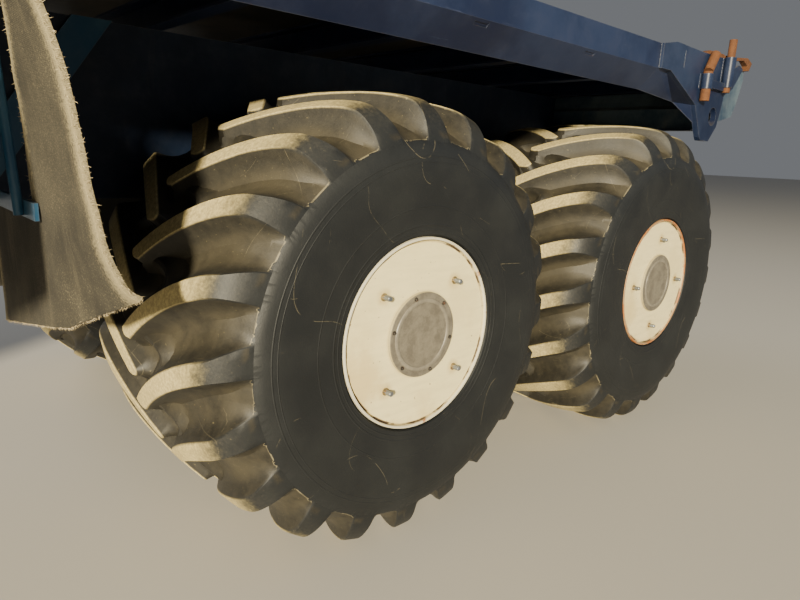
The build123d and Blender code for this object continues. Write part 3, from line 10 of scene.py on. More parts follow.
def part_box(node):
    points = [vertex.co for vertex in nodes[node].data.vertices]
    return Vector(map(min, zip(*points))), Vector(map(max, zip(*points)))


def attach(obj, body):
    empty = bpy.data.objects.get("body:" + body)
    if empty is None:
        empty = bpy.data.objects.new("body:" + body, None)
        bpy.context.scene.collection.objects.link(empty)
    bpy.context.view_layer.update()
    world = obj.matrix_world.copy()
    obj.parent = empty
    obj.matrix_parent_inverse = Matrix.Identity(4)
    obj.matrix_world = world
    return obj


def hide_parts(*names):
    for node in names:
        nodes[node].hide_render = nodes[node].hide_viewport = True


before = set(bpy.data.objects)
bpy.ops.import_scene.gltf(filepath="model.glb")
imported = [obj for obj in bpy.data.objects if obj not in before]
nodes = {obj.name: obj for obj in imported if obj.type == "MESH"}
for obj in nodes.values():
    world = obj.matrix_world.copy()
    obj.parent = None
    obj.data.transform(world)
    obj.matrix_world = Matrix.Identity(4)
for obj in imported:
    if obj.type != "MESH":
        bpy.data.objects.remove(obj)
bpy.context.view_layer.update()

# %% [markdown]
# The camera stands close to the truck's left rear, at eye height for someone crouching, and looks forward
# and inward past the two tandem wheels. Its place was worked out from the round wheel covers, which the
# lens turns into ellipses. A wide lens so near the tyres is what makes them loom, so the distance matters
# more than the lens: with the camera further back the same lens would flatten the row of wheels.

# %% Camera
CAMERA_PLACE = Vector((-0.812, 3.052, 1.4535))
CAMERA_YAW = math.radians(42.66)        # turned from straight across the truck towards its rear
CAMERA_PITCH = math.radians(-13.27)
CAMERA_ROLL = math.radians(2.69)
CAMERA_LENS = 27.52
SENSOR_WIDTH = 36


def new_object(name, data):
    """An object in the scene that shows a mesh, a curve, a lamp or a camera."""
    made = bpy.data.objects.new(name, data)
    bpy.context.scene.collection.objects.link(made)
    return made


view_line = Vector((-math.sin(CAMERA_YAW) * math.cos(CAMERA_PITCH),
                    -math.cos(CAMERA_YAW) * math.cos(CAMERA_PITCH),
                    math.sin(CAMERA_PITCH)))
level_right = view_line.cross(Vector((0, 0, 1))).normalized()
level_up = level_right.cross(view_line)
camera_right = level_right * math.cos(CAMERA_ROLL) + level_up * math.sin(CAMERA_ROLL)
camera_up = level_up * math.cos(CAMERA_ROLL) - level_right * math.sin(CAMERA_ROLL)

camera = new_object("camera", bpy.data.cameras.new("camera"))
camera.data.lens = CAMERA_LENS
camera.data.sensor_width = SENSOR_WIDTH
turn = Matrix((camera_right, camera_up, -view_line)).transposed()
camera.matrix_world = Matrix.Translation(CAMERA_PLACE) @ turn.to_4x4()
bpy.context.scene.camera = camera
print("camera looks along", [round(c, 3) for c in view_line])

# %% [markdown]
# The stage is a plain pale floor that runs on beyond the picture, under a pale sky. One large soft lamp
# stands low ahead of the truck on its left, where the sun stood in the photograph, because the lugs only
# read as lugs when light rakes across them. A weak lamp fills the shadows at the rear, and a wide one
# across the truck lets its far side be seen.

# %% Floor, sky and lamps
FLOOR_SIZE = 400.0
FLOOR_COLOUR = (0.50, 0.475, 0.43, 1)
FLOOR_ROUGHNESS = 0.9
SKY_COLOUR = (0.86, 0.90, 0.96, 1)
SKY_STRENGTH = 0.19
LAMPS = {       # place, what it points at, width in metres, watts, colour
    "key": ((20.2, 20.0, 8.5), (-2.0, 1.3, 0.9), 2.6, 31000, (1.0, 0.89, 0.64)),
    "fill": ((-12.0, 9.0, 7.0), (-1.0, 0.0, 1.2), 8.0, 110, (0.80, 0.90, 1.0)),
    "far_side": ((3.0, -17.0, 9.0), (0.0, 0.0, 1.6), 10.0, 1500, (0.92, 0.95, 1.0)),
}


def studio_floor():
    half = FLOOR_SIZE / 2
    mesh = bpy.data.meshes.new("floor")
    mesh.from_pydata([(-half, -half, 0), (half, -half, 0), (half, half, 0), (-half, half, 0)], [], [(0, 1, 2, 3)])
    material = bpy.data.materials.new("floor")
    material.use_nodes = True
    shader = material.node_tree.nodes["Principled BSDF"]
    shader.inputs["Base Color"].default_value = FLOOR_COLOUR
    shader.inputs["Roughness"].default_value = FLOOR_ROUGHNESS
    mesh.materials.append(material)
    floor = new_object("floor", mesh)


def soft_lamp(name, place, target, size, power, colour):
    data = bpy.data.lights.new(name, "AREA")
    data.shape = "DISK"
    data.size = size
    data.energy = power
    data.color = colour
    lamp = new_object(name, data)
    lamp.location = place
    lamp.rotation_euler = (Vector(target) - Vector(place)).to_track_quat("-Z", "Y").to_euler()


studio_floor()
for name, settings in LAMPS.items():
    soft_lamp(name, *settings)

world = bpy.data.worlds.new("sky")
world.use_nodes = True
world.node_tree.nodes["Background"].inputs["Color"].default_value = SKY_COLOUR
world.node_tree.nodes["Background"].inputs["Strength"].default_value = SKY_STRENGTH
bpy.context.scene.world = world
print(len(LAMPS), "lamps and a sky")

# %% [markdown]
# Every finish below is a small network of shader nodes. Writing one out by hand takes a line for each
# node and a line for each wire, so a few helpers come first: each adds one kind of node, wires what it is
# given and hands back the output socket, and a finish can then be read from the inside out.

# %% Helpers for shader networks


class Finish:
    """A material and its network, with a helper for each kind of node that the finishes use."""

    def __init__(self, name, roughness=0.6, metallic=0.0):
        self.material = bpy.data.materials.new(name)
        self.material.use_nodes = True
        self.tree = self.material.node_tree
        self.shader = self.tree.nodes["Principled BSDF"]
        self.shader.inputs["Roughness"].default_value = roughness
        self.shader.inputs["Metallic"].default_value = metallic
        self.place = self.node("ShaderNodeTexCoord").outputs["Object"]

    def node(self, kind, **settings):
        made = self.tree.nodes.new(kind)
        for key, value in settings.items():
            setattr(made, key, value)
        return made

    def feed(self, socket, value):
        """Wires an output socket into an input, or sets a plain value on it."""
        if isinstance(value, bpy.types.NodeSocket):
            self.tree.links.new(value, socket)
        elif isinstance(value, tuple) and len(value) == 3 and socket.type == "RGBA":
            socket.default_value = (*value, 1)
        else:
            socket.default_value = value

    def noise(self, scale, detail=4.0, rough=0.55, where=None, stretch=None):
        where = where or self.place
        if stretch:
            mapping = self.node("ShaderNodeMapping")
            mapping.inputs["Scale"].default_value = stretch
            self.feed(mapping.inputs["Vector"], where)
            where = mapping.outputs["Vector"]
        made = self.node("ShaderNodeTexNoise")
        self.feed(made.inputs["Vector"], where)
        made.inputs["Scale"].default_value = scale
        made.inputs["Detail"].default_value = detail
        made.inputs["Roughness"].default_value = rough
        return made.outputs["Fac"]

    def cells(self, scale):
        made = self.node("ShaderNodeTexVoronoi")
        self.feed(made.inputs["Vector"], self.place)
        made.inputs["Scale"].default_value = scale
        return made.outputs["Distance"]

    def stripes(self, scale, direction, distortion=0.0):
        made = self.node("ShaderNodeTexWave", bands_direction=direction)
        self.feed(made.inputs["Vector"], self.place)
        made.inputs["Scale"].default_value = scale
        made.inputs["Distortion"].default_value = distortion
        return made.outputs["Fac"]

    def math(self, operation, a, b=0.0, clamp=False):
        made = self.node("ShaderNodeMath", operation=operation, use_clamp=clamp)
        self.feed(made.inputs[0], a)
        self.feed(made.inputs[1], b)
        return made.outputs[0]

    def times(self, product, *others):
        for other in others:
            product = self.math("MULTIPLY", product, other)
        return product

    def plus(self, total, *others):
        for other in others:
            total = self.math("ADD", total, other)
        return total

    def minus(self, a, b):
        return self.math("SUBTRACT", a, b)

    def step(self, value, low, high):
        """0 below low, 1 above high, smooth between. With low above high it falls instead."""
        made = self.node("ShaderNodeMapRange", interpolation_type="SMOOTHSTEP")
        self.feed(made.inputs["Value"], value)
        rising = low < high
        made.inputs["From Min"].default_value = min(low, high)
        made.inputs["From Max"].default_value = max(low, high)
        made.inputs["To Min"].default_value = 0.0 if rising else 1.0
        made.inputs["To Max"].default_value = 1.0 if rising else 0.0
        return made.outputs["Result"]

    def mix(self, share, a, b):
        made = self.node("ShaderNodeMix", data_type="RGBA")
        self.feed(made.inputs["Factor"], share)
        self.feed(made.inputs[6], a)
        self.feed(made.inputs[7], b)
        return made.outputs[2]

    def over(self, base, coat, mask, strength=None):
        """The base with a coat laid over it, where the mask says so and as thickly as strength says."""
        return self.mix(mask if strength is None else self.times(mask, strength), base, coat)

    def attribute(self, name):
        return self.node("ShaderNodeAttribute", attribute_name=name).outputs["Fac"]

    def spot(self):
        """A point's place on the wheel that it belongs to, from an attribute of the mesh."""
        return self.node("ShaderNodeAttribute", attribute_name="spot").outputs["Vector"]

    def axes(self, where=None):
        made = self.node("ShaderNodeSeparateXYZ")
        self.feed(made.inputs[0], where or self.place)
        return made.outputs["X"], made.outputs["Y"], made.outputs["Z"]

    def facing(self):
        """The surface normal's three components."""
        return self.axes(self.node("ShaderNodeNewGeometry").outputs["Normal"])

    def radius(self, where):
        """Distance from the Y axis."""
        x, _, z = self.axes(where)
        return self.math("SQRT", self.plus(self.times(x, x), self.times(z, z)))

    def edge(self, width):
        """0 on flat faces, rising at edges, where a rounded normal turns away from the true one."""
        rounded = self.node("ShaderNodeBevel", samples=4)
        rounded.inputs["Radius"].default_value = width
        true = self.node("ShaderNodeNewGeometry").outputs["Normal"]
        across = self.node("ShaderNodeVectorMath", operation="DOT_PRODUCT")
        self.feed(across.inputs[0], rounded.outputs["Normal"])
        self.feed(across.inputs[1], true)
        return self.minus(1.0, across.outputs["Value"])

    def colour(self, value):
        self.feed(self.shader.inputs["Base Color"], value)

    def rough(self, value):
        self.feed(self.shader.inputs["Roughness"], value)

    def bump(self, height, distance, strength):
        made = self.node("ShaderNodeBump")
        made.inputs["Distance"].default_value = distance
        made.inputs["Strength"].default_value = strength
        self.feed(made.inputs["Height"], height)
        self.feed(self.shader.inputs["Normal"], made.outputs["Normal"])


def scaled(colour, factor):
    return tuple(c * factor for c in colour)


print("shader helpers ready")

# %% [markdown]
# Small geometry helpers come next. A list of points and a list of faces is the plainest way to say what a
# shape is, and bmesh then turns all faces outwards. Shapes of revolution are lathed from an outline of
# offsets along the axle and radii, and smooth outlines are drawn through a few measured points. The truck's
# right side is its left one mirrored, and a mirrored mesh is inside out until its faces are flipped.

# %% Helpers for meshes
MERGE_DISTANCE = 1e-6
MIRROR = Matrix.Scale(-1, 4, (0, 1, 0))
SIDES = (("left", 1), ("right", -1))
WHEEL_PLACES = {}
for end in ("front", "middle", "rear"):
    low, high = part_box(f"tyre_{end}_left")
    WHEEL_PLACES[end] = (low + high) / 2


def smooth_through(points, share):
    """A point on the smooth line through some points, at a share of the way along it."""
    last = len(points) - 1
    along = min(max(share, 0.0), 1.0) * last
    i = min(int(along), last - 1)
    f = along - i
    before = points[i - 1] if i > 0 else [2 * a - b for a, b in zip(points[0], points[1])]
    after = points[i + 2] if i + 2 <= last else points[last]
    result = []
    for p0, p1, p2, p3 in zip(before, points[i], points[i + 1], after):
        result.append(0.5 * (2 * p1 + (p2 - p0) * f + (2 * p0 - 5 * p1 + 4 * p2 - p3) * f * f
                             + (3 * p1 - p0 - 3 * p2 + p3) * f ** 3))
    return tuple(result)


def ease(x):
    x = min(max(x, 0.0), 1.0)
    return x * x * (3 - 2 * x)


def clean(mesh):
    """Merges a mesh's double points and turns its faces outwards."""
    shape = bmesh.new()
    shape.from_mesh(mesh)
    bmesh.ops.remove_doubles(shape, verts=shape.verts, dist=MERGE_DISTANCE)
    bmesh.ops.recalc_face_normals(shape, faces=shape.faces)
    shape.to_mesh(mesh)
    shape.free()


def new_mesh(name, points, faces, finish=None):
    mesh = bpy.data.meshes.new(name)
    mesh.from_pydata(points, [], faces)
    clean(mesh)
    if finish:
        mesh.materials.append(finish)
    return mesh


def lathe(name, outline, steps, finish=None):
    """A closed outline of (offset along Y, radius) points, turned once about the Y axis."""
    points = []
    faces = []
    count = len(outline)
    for s in range(steps):
        angle = 2 * math.pi * s / steps
        points += [(r * math.cos(angle), y, r * math.sin(angle)) for y, r in outline]
    for s in range(steps):
        here = s * count
        there = (s + 1) % steps * count
        for j in range(count):
            k = (j + 1) % count
            faces.append((here + j, there + j, there + k, here + k))
    return new_mesh(name, points, faces, finish)


def show_smooth(mesh, sharp_degrees):
    mesh.shade_smooth()
    mesh.set_sharp_from_angle(angle=math.radians(sharp_degrees))


def mirrored(mesh):
    """A copy on the truck's other side."""
    made = mesh.copy()
    made.transform(MIRROR)
    made.flip_normals()
    return made


def on_axle(mesh, place, sign):
    """A copy of a left wheel's part, carried to its axle and mirrored for the truck's right."""
    made = mesh.copy() if sign > 0 else mirrored(mesh)
    made.transform(Matrix.Translation((place.x, sign * place.y, place.z)))
    return made


def store_numbers(mesh, name, values):
    mesh.attributes.new(name, "FLOAT", "POINT").data.foreach_set("value", values)


def store_vectors(mesh, name, vectors):
    stored = mesh.attributes.new(name, "FLOAT_VECTOR", "POINT")
    stored.data.foreach_set("vector", [value for vector in vectors for value in vector])


def store_spots(mesh):
    """Keeps each point's place before the mesh is moved, for finishes that go along with it."""
    store_vectors(mesh, "spot", [vertex.co for vertex in mesh.vertices])


def plain_mesh(thing, name):
    """The object with its modifiers worked into a plain mesh of its own."""
    graph = bpy.context.evaluated_depsgraph_get()
    mesh = bpy.data.meshes.new_from_object(thing.evaluated_get(graph))
    mesh.name = name
    return mesh


def drop_object(thing):
    mesh = thing.data
    bpy.data.objects.remove(thing)
    if mesh.users == 0:
        bpy.data.meshes.remove(mesh)


def place_piece(name, mesh, body):
    """Puts a finished mesh in the scene, riding on its body."""
    made = new_object(name, mesh)
    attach(made, body)
    return made


print("tandem wheels stand", round(WHEEL_PLACES["middle"].x - WHEEL_PLACES["rear"].x, 3), "m apart")

# %% [markdown]
# A flotation tyre carries deep lugs in two rows that lean towards each other, half a pitch apart. One lug is
# modelled as a net: stations run along it from its mouth on the sidewall to its blunt end past the middle
# of the tread, and at each station the net crosses the lug. Its upper side runs out in a long soft slope
# and its lower side drops steeply, which is what scoops the hollows between the lugs.
# The tread's outer face and the floor of the hollows are two smooth lines in the tyre's section. A point
# of the net sinks from one to the other by a share, so the lug dies out where the two lines meet.

# %% One lug of the tyre
LUGS_IN_ROW = 20
FIRST_LUG = math.radians(-88.7)
# the section's lines: offset along the axle, radius
TREAD_LINE = [(0, 0.838), (0.15, 0.836), (0.30, 0.828), (0.40, 0.814),
              (0.455, 0.797), (0.490, 0.765), (0.515, 0.718), (0.527, 0.668)]
FLOOR_LINE = [(0, 0.768), (0.15, 0.765), (0.30, 0.753), (0.39, 0.738),
              (0.44, 0.722), (0.475, 0.703), (0.503, 0.686), (0.527, 0.668)]
SHOULDER_SHARE = 4 / 7              # where the tread line turns down into the sidewall
SHOULDER_RADIUS = TREAD_LINE[4][1]
METRES_TO_SHARE = 1 / (TREAD_LINE[1][0] * (len(TREAD_LINE) - 1))
LUG_HALF_ANGLE = 2.3                # degrees, across the tread
MOUTH_EXTRA_ANGLES = (2.6, 0.6)     # the lug's upper and lower side spread this much more at its mouth
MOUTH_SLOPES = 0.45                 # the slopes beside the mouth are this much as wide as on the tread
LUG_LEAN = (50.0, -30.0)            # degrees for each metre, and for each square metre, off the middle
LUG_END = (0.022, -0.038)           # where the lower and the upper edge stop, past the middle
LUG_END_BULGE = 0.014               # the end's middle stands this much further out
UPPER_SLOPE = [(112, 1.04), (88, 0.97), (62, 0.87), (37, 0.66), (18, 0.37), (6, 0.08), (0, 0)]
LOWER_SLOPE = [(0, 0), (4, 0.08), (12, 0.34), (25, 0.62), (42, 0.85), (64, 1.04)]
END_SLOPE = [(4, 0.06), (12, 0.35), (26, 0.68), (45, 0.90), (68, 1.04)]     # millimetres out, share sunk
LUG_STATIONS = 20
STATION_CROWDING = 0.9              # below 1, the stations stand closer towards the lug's end


def sunk_point(share, sunk):
    """Offset and radius on the tread line at a share of its length, sunk towards the floor line."""
    y, r = smooth_through(TREAD_LINE, abs(share))
    floor_y, floor_r = smooth_through(FLOOR_LINE, abs(share))
    return math.copysign(y + (floor_y - y) * sunk, share), r + (floor_r - r) * sunk


def net_mesh(name, rows):
    """A net of rows of points, closed by one many-sided face round its rim."""
    points = [point for row in rows for point in row]
    wide = len(rows[0])
    index = [[i * wide + j for j in range(wide)] for i in range(len(rows))]
    faces = []
    for here, there in zip(index, index[1:]):
        for j in range(wide - 1):
            faces.append((here[j], here[j + 1], there[j + 1], there[j]))
    rim = index[0] + [row[-1] for row in index[1:]] + index[-1][-2::-1] + [row[0] for row in index[-2:0:-1]]
    faces.append(tuple(reversed(rim)))
    return new_mesh(name, points, faces)


def lug_point(along, beyond, edge, out, sunk):
    """A point of the net, from its share along the lug and the millimetres past its end and side."""
    stop = LUG_END[0] + (LUG_END[1] - LUG_END[0]) * (edge + 1) / 2 - LUG_END_BULGE * (1 - edge * edge)
    start = (stop - beyond / 1000) * METRES_TO_SHARE
    share = start + (1 - start) * along
    y, r = sunk_point(share, sunk)
    top_y = math.copysign(smooth_through(TREAD_LINE, abs(share))[0], share)
    past_shoulder = ease((share - SHOULDER_SHARE) / (1 - SHOULDER_SHARE))
    extra = MOUTH_EXTRA_ANGLES[0] if edge > 0 else MOUTH_EXTRA_ANGLES[1]
    half = math.radians(LUG_HALF_ANGLE + extra * past_shoulder)
    narrow = MOUTH_SLOPES + (1 - MOUTH_SLOPES) * ease((1 - share) / (1 - SHOULDER_SHARE))
    angle = math.radians(LUG_LEAN[0] * top_y + LUG_LEAN[1] * top_y * top_y) + edge * half
    if out:
        angle += math.copysign(out / 1000 * narrow / SHOULDER_RADIUS, edge)
    return r * math.cos(angle), y, r * math.sin(angle)


def lug_rows():
    crossing = [(1.0, out, sunk) for out, sunk in UPPER_SLOPE] + [(0.5, 0, 0), (0.0, 0, 0), (-0.5, 0, 0)]
    crossing += [(-1.0, out, sunk) for out, sunk in LOWER_SLOPE]
    stations = [(1 - (i / (LUG_STATIONS - 1)) ** STATION_CROWDING, 0, 0) for i in range(LUG_STATIONS)]
    stations += [(0, beyond, sunk) for beyond, sunk in END_SLOPE]
    return [[lug_point(along, beyond, edge, out, max(sunk, end_sunk)) for edge, out, sunk in crossing]
            for along, beyond, end_sunk in stations]


lug = new_object("one_lug", net_mesh("one_lug", lug_rows()))
print("one lug has", len(lug.data.polygons), "faces")

# %% [markdown]
# Between two lugs of a row the other row's lug ends in a hollow of its own, and a low ridge bends round it
# from one lug's lower corner to the next lug's upper side. The ridge is a second net, swept along that bend.

# %% The ridge between two lugs
RIDGE_BEND = [(-0.4, 0.022), (-0.6, 0.10), (-1.9, 0.162), (-4.3, 0.182), (-7.0, 0.150), (-9.2, 0.112),
              (-11.4, 0.085)]      # degrees from the lug's middle, metres from the tyre's middle
RIDGE_SLOPE = [(-50, 1.03), (-36, 0.88), (-20, 0.62), (-7, 0.50), (7, 0.50), (22, 0.64), (42, 0.88),
               (62, 1.03)]         # millimetres across the ridge, share sunk
RIDGE_STATIONS = 18
LOOK_AHEAD = 0.02


def ridge_rows():
    metres = math.radians(1) * TREAD_LINE[0][1]
    rows = []
    for i in range(RIDGE_STATIONS):
        share = i / (RIDGE_STATIONS - 1)
        here = smooth_through(RIDGE_BEND, share)
        ahead = smooth_through(RIDGE_BEND, min(share + LOOK_AHEAD, 1))
        behind = smooth_through(RIDGE_BEND, max(share - LOOK_AHEAD, 0))
        way = Vector(((ahead[0] - behind[0]) * metres, ahead[1] - behind[1])).normalized()
        row = []
        for distance, sunk in RIDGE_SLOPE:
            angle = math.radians(here[0] + distance / 1000 * way.y / metres)
            offset = here[1] - distance / 1000 * way.x
            y, r = sunk_point(offset * METRES_TO_SHARE, sunk)
            row.append((r * math.cos(angle), y, r * math.sin(angle)))
        rows.append(row)
    return rows


ridge = new_object("one_ridge", net_mesh("one_ridge", ridge_rows()))
print("its ridge has", len(ridge.data.polygons), "faces")

# %% [markdown]
# The body that carries the lugs is lathed: along the floor of the hollows, down the bulging sidewall to the
# bead, and back through the bore. Its ring count is a multiple of the lugs in a row, so every lug meets it
# in the same way.

# %% Body of the tyre
SIDEWALL_LINE = [(0.538, 0.640), (0.545, 0.605), (0.546, 0.570), (0.5445, 0.530), (0.541, 0.490),
                 (0.5375, 0.450), (0.534, 0.415), (0.531, 0.385), (0.528, 0.358), (0.512, 0.352),
                 (0.507, 0.3185)]
FLOOR_POINTS = 25
RINGS_FOR_LUG = 12

tread_floor = [smooth_through(FLOOR_LINE, i / (FLOOR_POINTS - 1)) for i in range(FLOOR_POINTS)]
half_outline = tread_floor + SIDEWALL_LINE
tyre_outline = [(-y, r) for y, r in reversed(half_outline[1:])] + half_outline
carcass = new_object("carcass", lathe("carcass", tyre_outline, RINGS_FOR_LUG * LUGS_IN_ROW))
print("the tyre's body has", len(carcass.data.polygons), "faces")

# %% [markdown]
# Twenty like lugs in each of two rows is what Geometry Nodes are for. The tree puts an instance on each of
# twenty points, all at the axle and each turned a step further, does the same with a mirrored copy half a
# step on, and unites the lot with the body. The union costs a fifth of a second and leaves one clean
# skin, without lugs that merely poke into the rubber.

# %% Lug rings by Geometry Nodes


def new_tree(name, inputs, output):
    """An empty tree with its named inputs. Gives the tree, its inputs' sockets and its output's socket."""
    tree = bpy.data.node_groups.new(name, "GeometryNodeTree")
    for title, kind, *value in inputs:
        socket = tree.interface.new_socket(title, in_out="INPUT", socket_type=f"NodeSocket{kind}")
        if value:
            socket.default_value = value[0]
    tree.interface.new_socket(output, in_out="OUTPUT", socket_type="NodeSocketGeometry")
    return tree, tree.nodes.new("NodeGroupInput").outputs, tree.nodes.new("NodeGroupOutput").inputs[output]


def shape_of(tree, object_socket):
    made = tree.nodes.new("GeometryNodeObjectInfo")
    tree.links.new(object_socket, made.inputs["Object"])
    return made.outputs["Geometry"]


def realized(tree, instances):
    made = tree.nodes.new("GeometryNodeRealizeInstances")
    tree.links.new(instances, made.inputs[0])
    return made.outputs[0]


def paint_result(tree, geometry, material, result):
    painted = tree.nodes.new("GeometryNodeSetMaterial")
    tree.links.new(geometry, painted.inputs["Geometry"])
    tree.links.new(material, painted.inputs["Material"])
    tree.links.new(painted.outputs["Geometry"], result)


def lug_rings():
    tree, given, result = new_tree("lug rings", [
        ("Lug", "Geometry"), ("Ridge", "Object"), ("Lugs in a row", "Int", LUGS_IN_ROW),
        ("First lug", "Float", FIRST_LUG), ("Body", "Object"), ("Rubber", "Material")], "Tyre")
    link = tree.links.new

    def maths(operation, a, b):
        made = tree.nodes.new("ShaderNodeMath")
        made.operation = operation
        for socket, value in zip(made.inputs, (a, b)):
            if isinstance(value, bpy.types.NodeSocket):
                link(value, socket)
            else:
                socket.default_value = value
        return made.outputs[0]

    step = maths("DIVIDE", 2 * math.pi, given["Lugs in a row"])
    number = tree.nodes.new("GeometryNodeInputIndex").outputs["Index"]
    points = tree.nodes.new("GeometryNodeMeshLine")
    points.inputs["Offset"].default_value = (0, 0, 0)
    link(given["Lugs in a row"], points.inputs["Count"])
    united = tree.nodes.new("GeometryNodeMeshBoolean")
    united.operation = "UNION"
    united.solver = "MANIFOLD"
    for shape in (given["Lug"], shape_of(tree, given["Ridge"])):
        other_side = tree.nodes.new("GeometryNodeTransform")
        other_side.inputs["Scale"].default_value = (1, -1, 1)
        link(shape, other_side.inputs["Geometry"])
        turned_out = tree.nodes.new("GeometryNodeFlipFaces")
        link(other_side.outputs[0], turned_out.inputs[0])
        for row_shape, ahead in ((shape, 0.0), (turned_out.outputs[0], 0.5)):
            turn = maths("MULTIPLY", maths("ADD", number, ahead), step)
            turn = maths("MULTIPLY", maths("ADD", turn, given["First lug"]), -1.0)
            axis = tree.nodes.new("ShaderNodeCombineXYZ")
            link(turn, axis.inputs["Y"])
            placed = tree.nodes.new("GeometryNodeInstanceOnPoints")
            link(points.outputs["Mesh"], placed.inputs["Points"])
            link(row_shape, placed.inputs["Instance"])
            link(axis.outputs[0], placed.inputs["Rotation"])
            link(realized(tree, placed.outputs["Instances"]), united.inputs["Mesh 2"])
    link(shape_of(tree, given["Body"]), united.inputs["Mesh 2"])
    paint_result(tree, united.outputs["Mesh"], given["Rubber"], result)
    return tree


def run_tree(thing, tree, values):
    """Gives an object a Geometry Nodes modifier, its inputs found by name and set by identifier."""
    modifier = thing.modifiers.new(tree.name, "NODES")
    modifier.node_group = tree
    for item in tree.interface.items_tree:
        if item.in_out == "INPUT" and item.name in values:
            modifier[item.identifier] = values[item.name]


lug_tree = lug_rings()
print("the lug tree has", len(lug_tree.nodes), "nodes")

# %% [markdown]
# Worn rubber isn't black. The lugs' top faces are scrubbed to a pale dusty tan, the hollows hold dust that
# thins towards the mouths, and only the sidewall keeps its dark grey. Which is which can't be told from a
# place in space, because each tyre stands somewhere else and rolls, so the mesh carries three attributes:
# how high a point stands between floor and top, how far it lies towards the sidewall, and its place on the
# tyre itself, which the scuffs, the scratches and the mould's rings follow.

# %% Rubber finish
TOP_DUST = (0.58, 0.475, 0.225)
TOP_TAN = (0.31, 0.25, 0.120)
HOLLOW_DUST = (0.031, 0.0270, 0.0185)
HOLLOW_BROWN = (0.0115, 0.0104, 0.0082)
FLOOR_DUST = (0.050, 0.042, 0.026)
MOUTH_DUST = (0.24, 0.205, 0.125)
SIDEWALL_GREY = (0.0052, 0.0064, 0.0080)
SIDEWALL_PALE = (0.0100, 0.0115, 0.0128)
SHOULDER_GREY = (0.034, 0.032, 0.027)
MOULD_RINGS = [(0.618, 0.0030, 1.2), (0.600, 0.0022, 0.8), (0.455, 0.0025, 0.7), (0.392, 0.0040, 1.0),
               (0.374, 0.0030, 1.0)]        # radius, half width, height
SCRATCHES = ((2.3, 0.50), (4.1, 0.54))      # scale of the lines, and how much of them is left out


def rubber():
    f = Finish("tyre rubber", roughness=0.8)
    height = f.attribute("lug_height")
    flank = f.attribute("flank")
    spot = f.spot()
    patches = f.noise(6.0, detail=6.0)
    grain = f.noise(95.0, detail=4.0, rough=0.7)
    streaks = f.noise(24.0, detail=6.0, rough=0.75)
    ragged = f.times(f.minus(streaks, 0.5), 0.34)

    # hollows and sidewall
    hollow = f.mix(f.step(streaks, 0.25, 0.8), HOLLOW_BROWN, HOLLOW_DUST)
    hollow = f.over(hollow, FLOOR_DUST, f.times(f.step(height, 0.50, 0.05), f.step(patches, 0.2, 0.75)))
    sidewall = f.mix(f.step(patches, 0.3, 0.8), SIDEWALL_GREY, SIDEWALL_PALE)
    lower = f.over(hollow, sidewall, f.step(f.plus(flank, f.times(ragged, 0.3)), 0.985, 1.01))
    marks = f.noise(34.0, detail=7.0, rough=0.85, where=spot, stretch=(1.0, 0.35, 2.2))
    marks = f.times(f.step(marks, 0.60, 0.70), f.step(patches, 0.35, 0.60))
    lower = f.over(lower, FLOOR_DUST, marks, 0.45)
    mouth_edge = f.times(f.step(flank, 0.955, 0.978), f.step(flank, 0.996, 0.988))
    mouth_edge = f.times(mouth_edge, f.times(f.step(height, 0.9, 0.7), f.step(streaks, 0.25, 0.60)))
    lower = f.over(lower, MOUTH_DUST, mouth_edge, 0.75)

    # shoulders and the lugs' tops
    on_shoulder = f.times(f.step(height, 0.80, 0.95), f.step(flank, 0.40, 0.56))
    scuffed = f.times(f.step(grain, 0.25, 0.80), f.step(flank, 1.0, 0.50))
    base = f.over(lower, f.mix(scuffed, sidewall, SHOULDER_GREY), on_shoulder)
    on_top = f.times(f.step(height, 0.90, 0.99), f.step(f.plus(flank, ragged), 0.66, 0.28))
    worn = f.over(base, f.mix(f.step(grain, 0.3, 0.75), TOP_TAN, TOP_DUST), on_top)

    # scuffs, scratches and specks
    scuffs = f.noise(7.0, detail=8.0, rough=0.8, where=spot, stretch=(1.0, 1.0, 5.0))
    scuffs = f.times(f.step(scuffs, 0.64, 0.72), f.step(grain, 0.35, 0.60))
    worn = f.over(worn, FLOOR_DUST, scuffs, 0.35)
    for scale, left_out in SCRATCHES:
        line = f.math("ABSOLUTE", f.minus(f.noise(scale, detail=0.0, where=spot), 0.5))
        part = f.step(f.noise(scale * 3.0, detail=3.0, where=spot), left_out, left_out + 0.06)
        scratch = f.times(f.step(line, 0.0016, 0.0004), f.times(part, f.step(grain, 0.30, 0.55)))
        worn = f.over(worn, MOUTH_DUST, scratch, 0.40)
    specks = f.times(f.step(grain, 0.66, 0.74), f.step(flank, 1.2, 0.2))
    f.colour(f.over(worn, TOP_DUST, specks, 0.40))
    f.rough(f.plus(f.times(on_top, 0.25), f.plus(f.times(patches, 0.25), 0.46)))

    # relief
    r = f.radius(spot)
    relief = f.plus(f.times(grain, 0.35), f.times(streaks, 0.6))
    on_sidewall = f.step(flank, 1.0, 1.02)
    for ring_radius, width, lift in MOULD_RINGS:
        away = f.math("ABSOLUTE", f.minus(r, ring_radius))
        ring = f.times(f.step(away, width, width * 0.5), on_sidewall)
        relief = f.plus(relief, f.times(ring, lift))
    f.bump(relief, 0.003, 0.5)
    return f.material


rubber_finish = rubber()
print("rubber takes", len(rubber_finish.node_tree.nodes), "nodes")

# %% [markdown]
# All six tyres are the same mould, so one is made, marked with its attributes while it still stands at the
# origin, and then copied to the axles. The marks go along with each copy. They are read off the section's two
# lines: of all the places along the lines, a point of the mesh takes the one that it lies nearest to.

# %% Tyres
LINE_SAMPLES = 60
SIDEWALL_FLANK = 1.1                # a share past the end of the tread line, for all that lies below it
TYRE_SHARP_DEGREES = 32


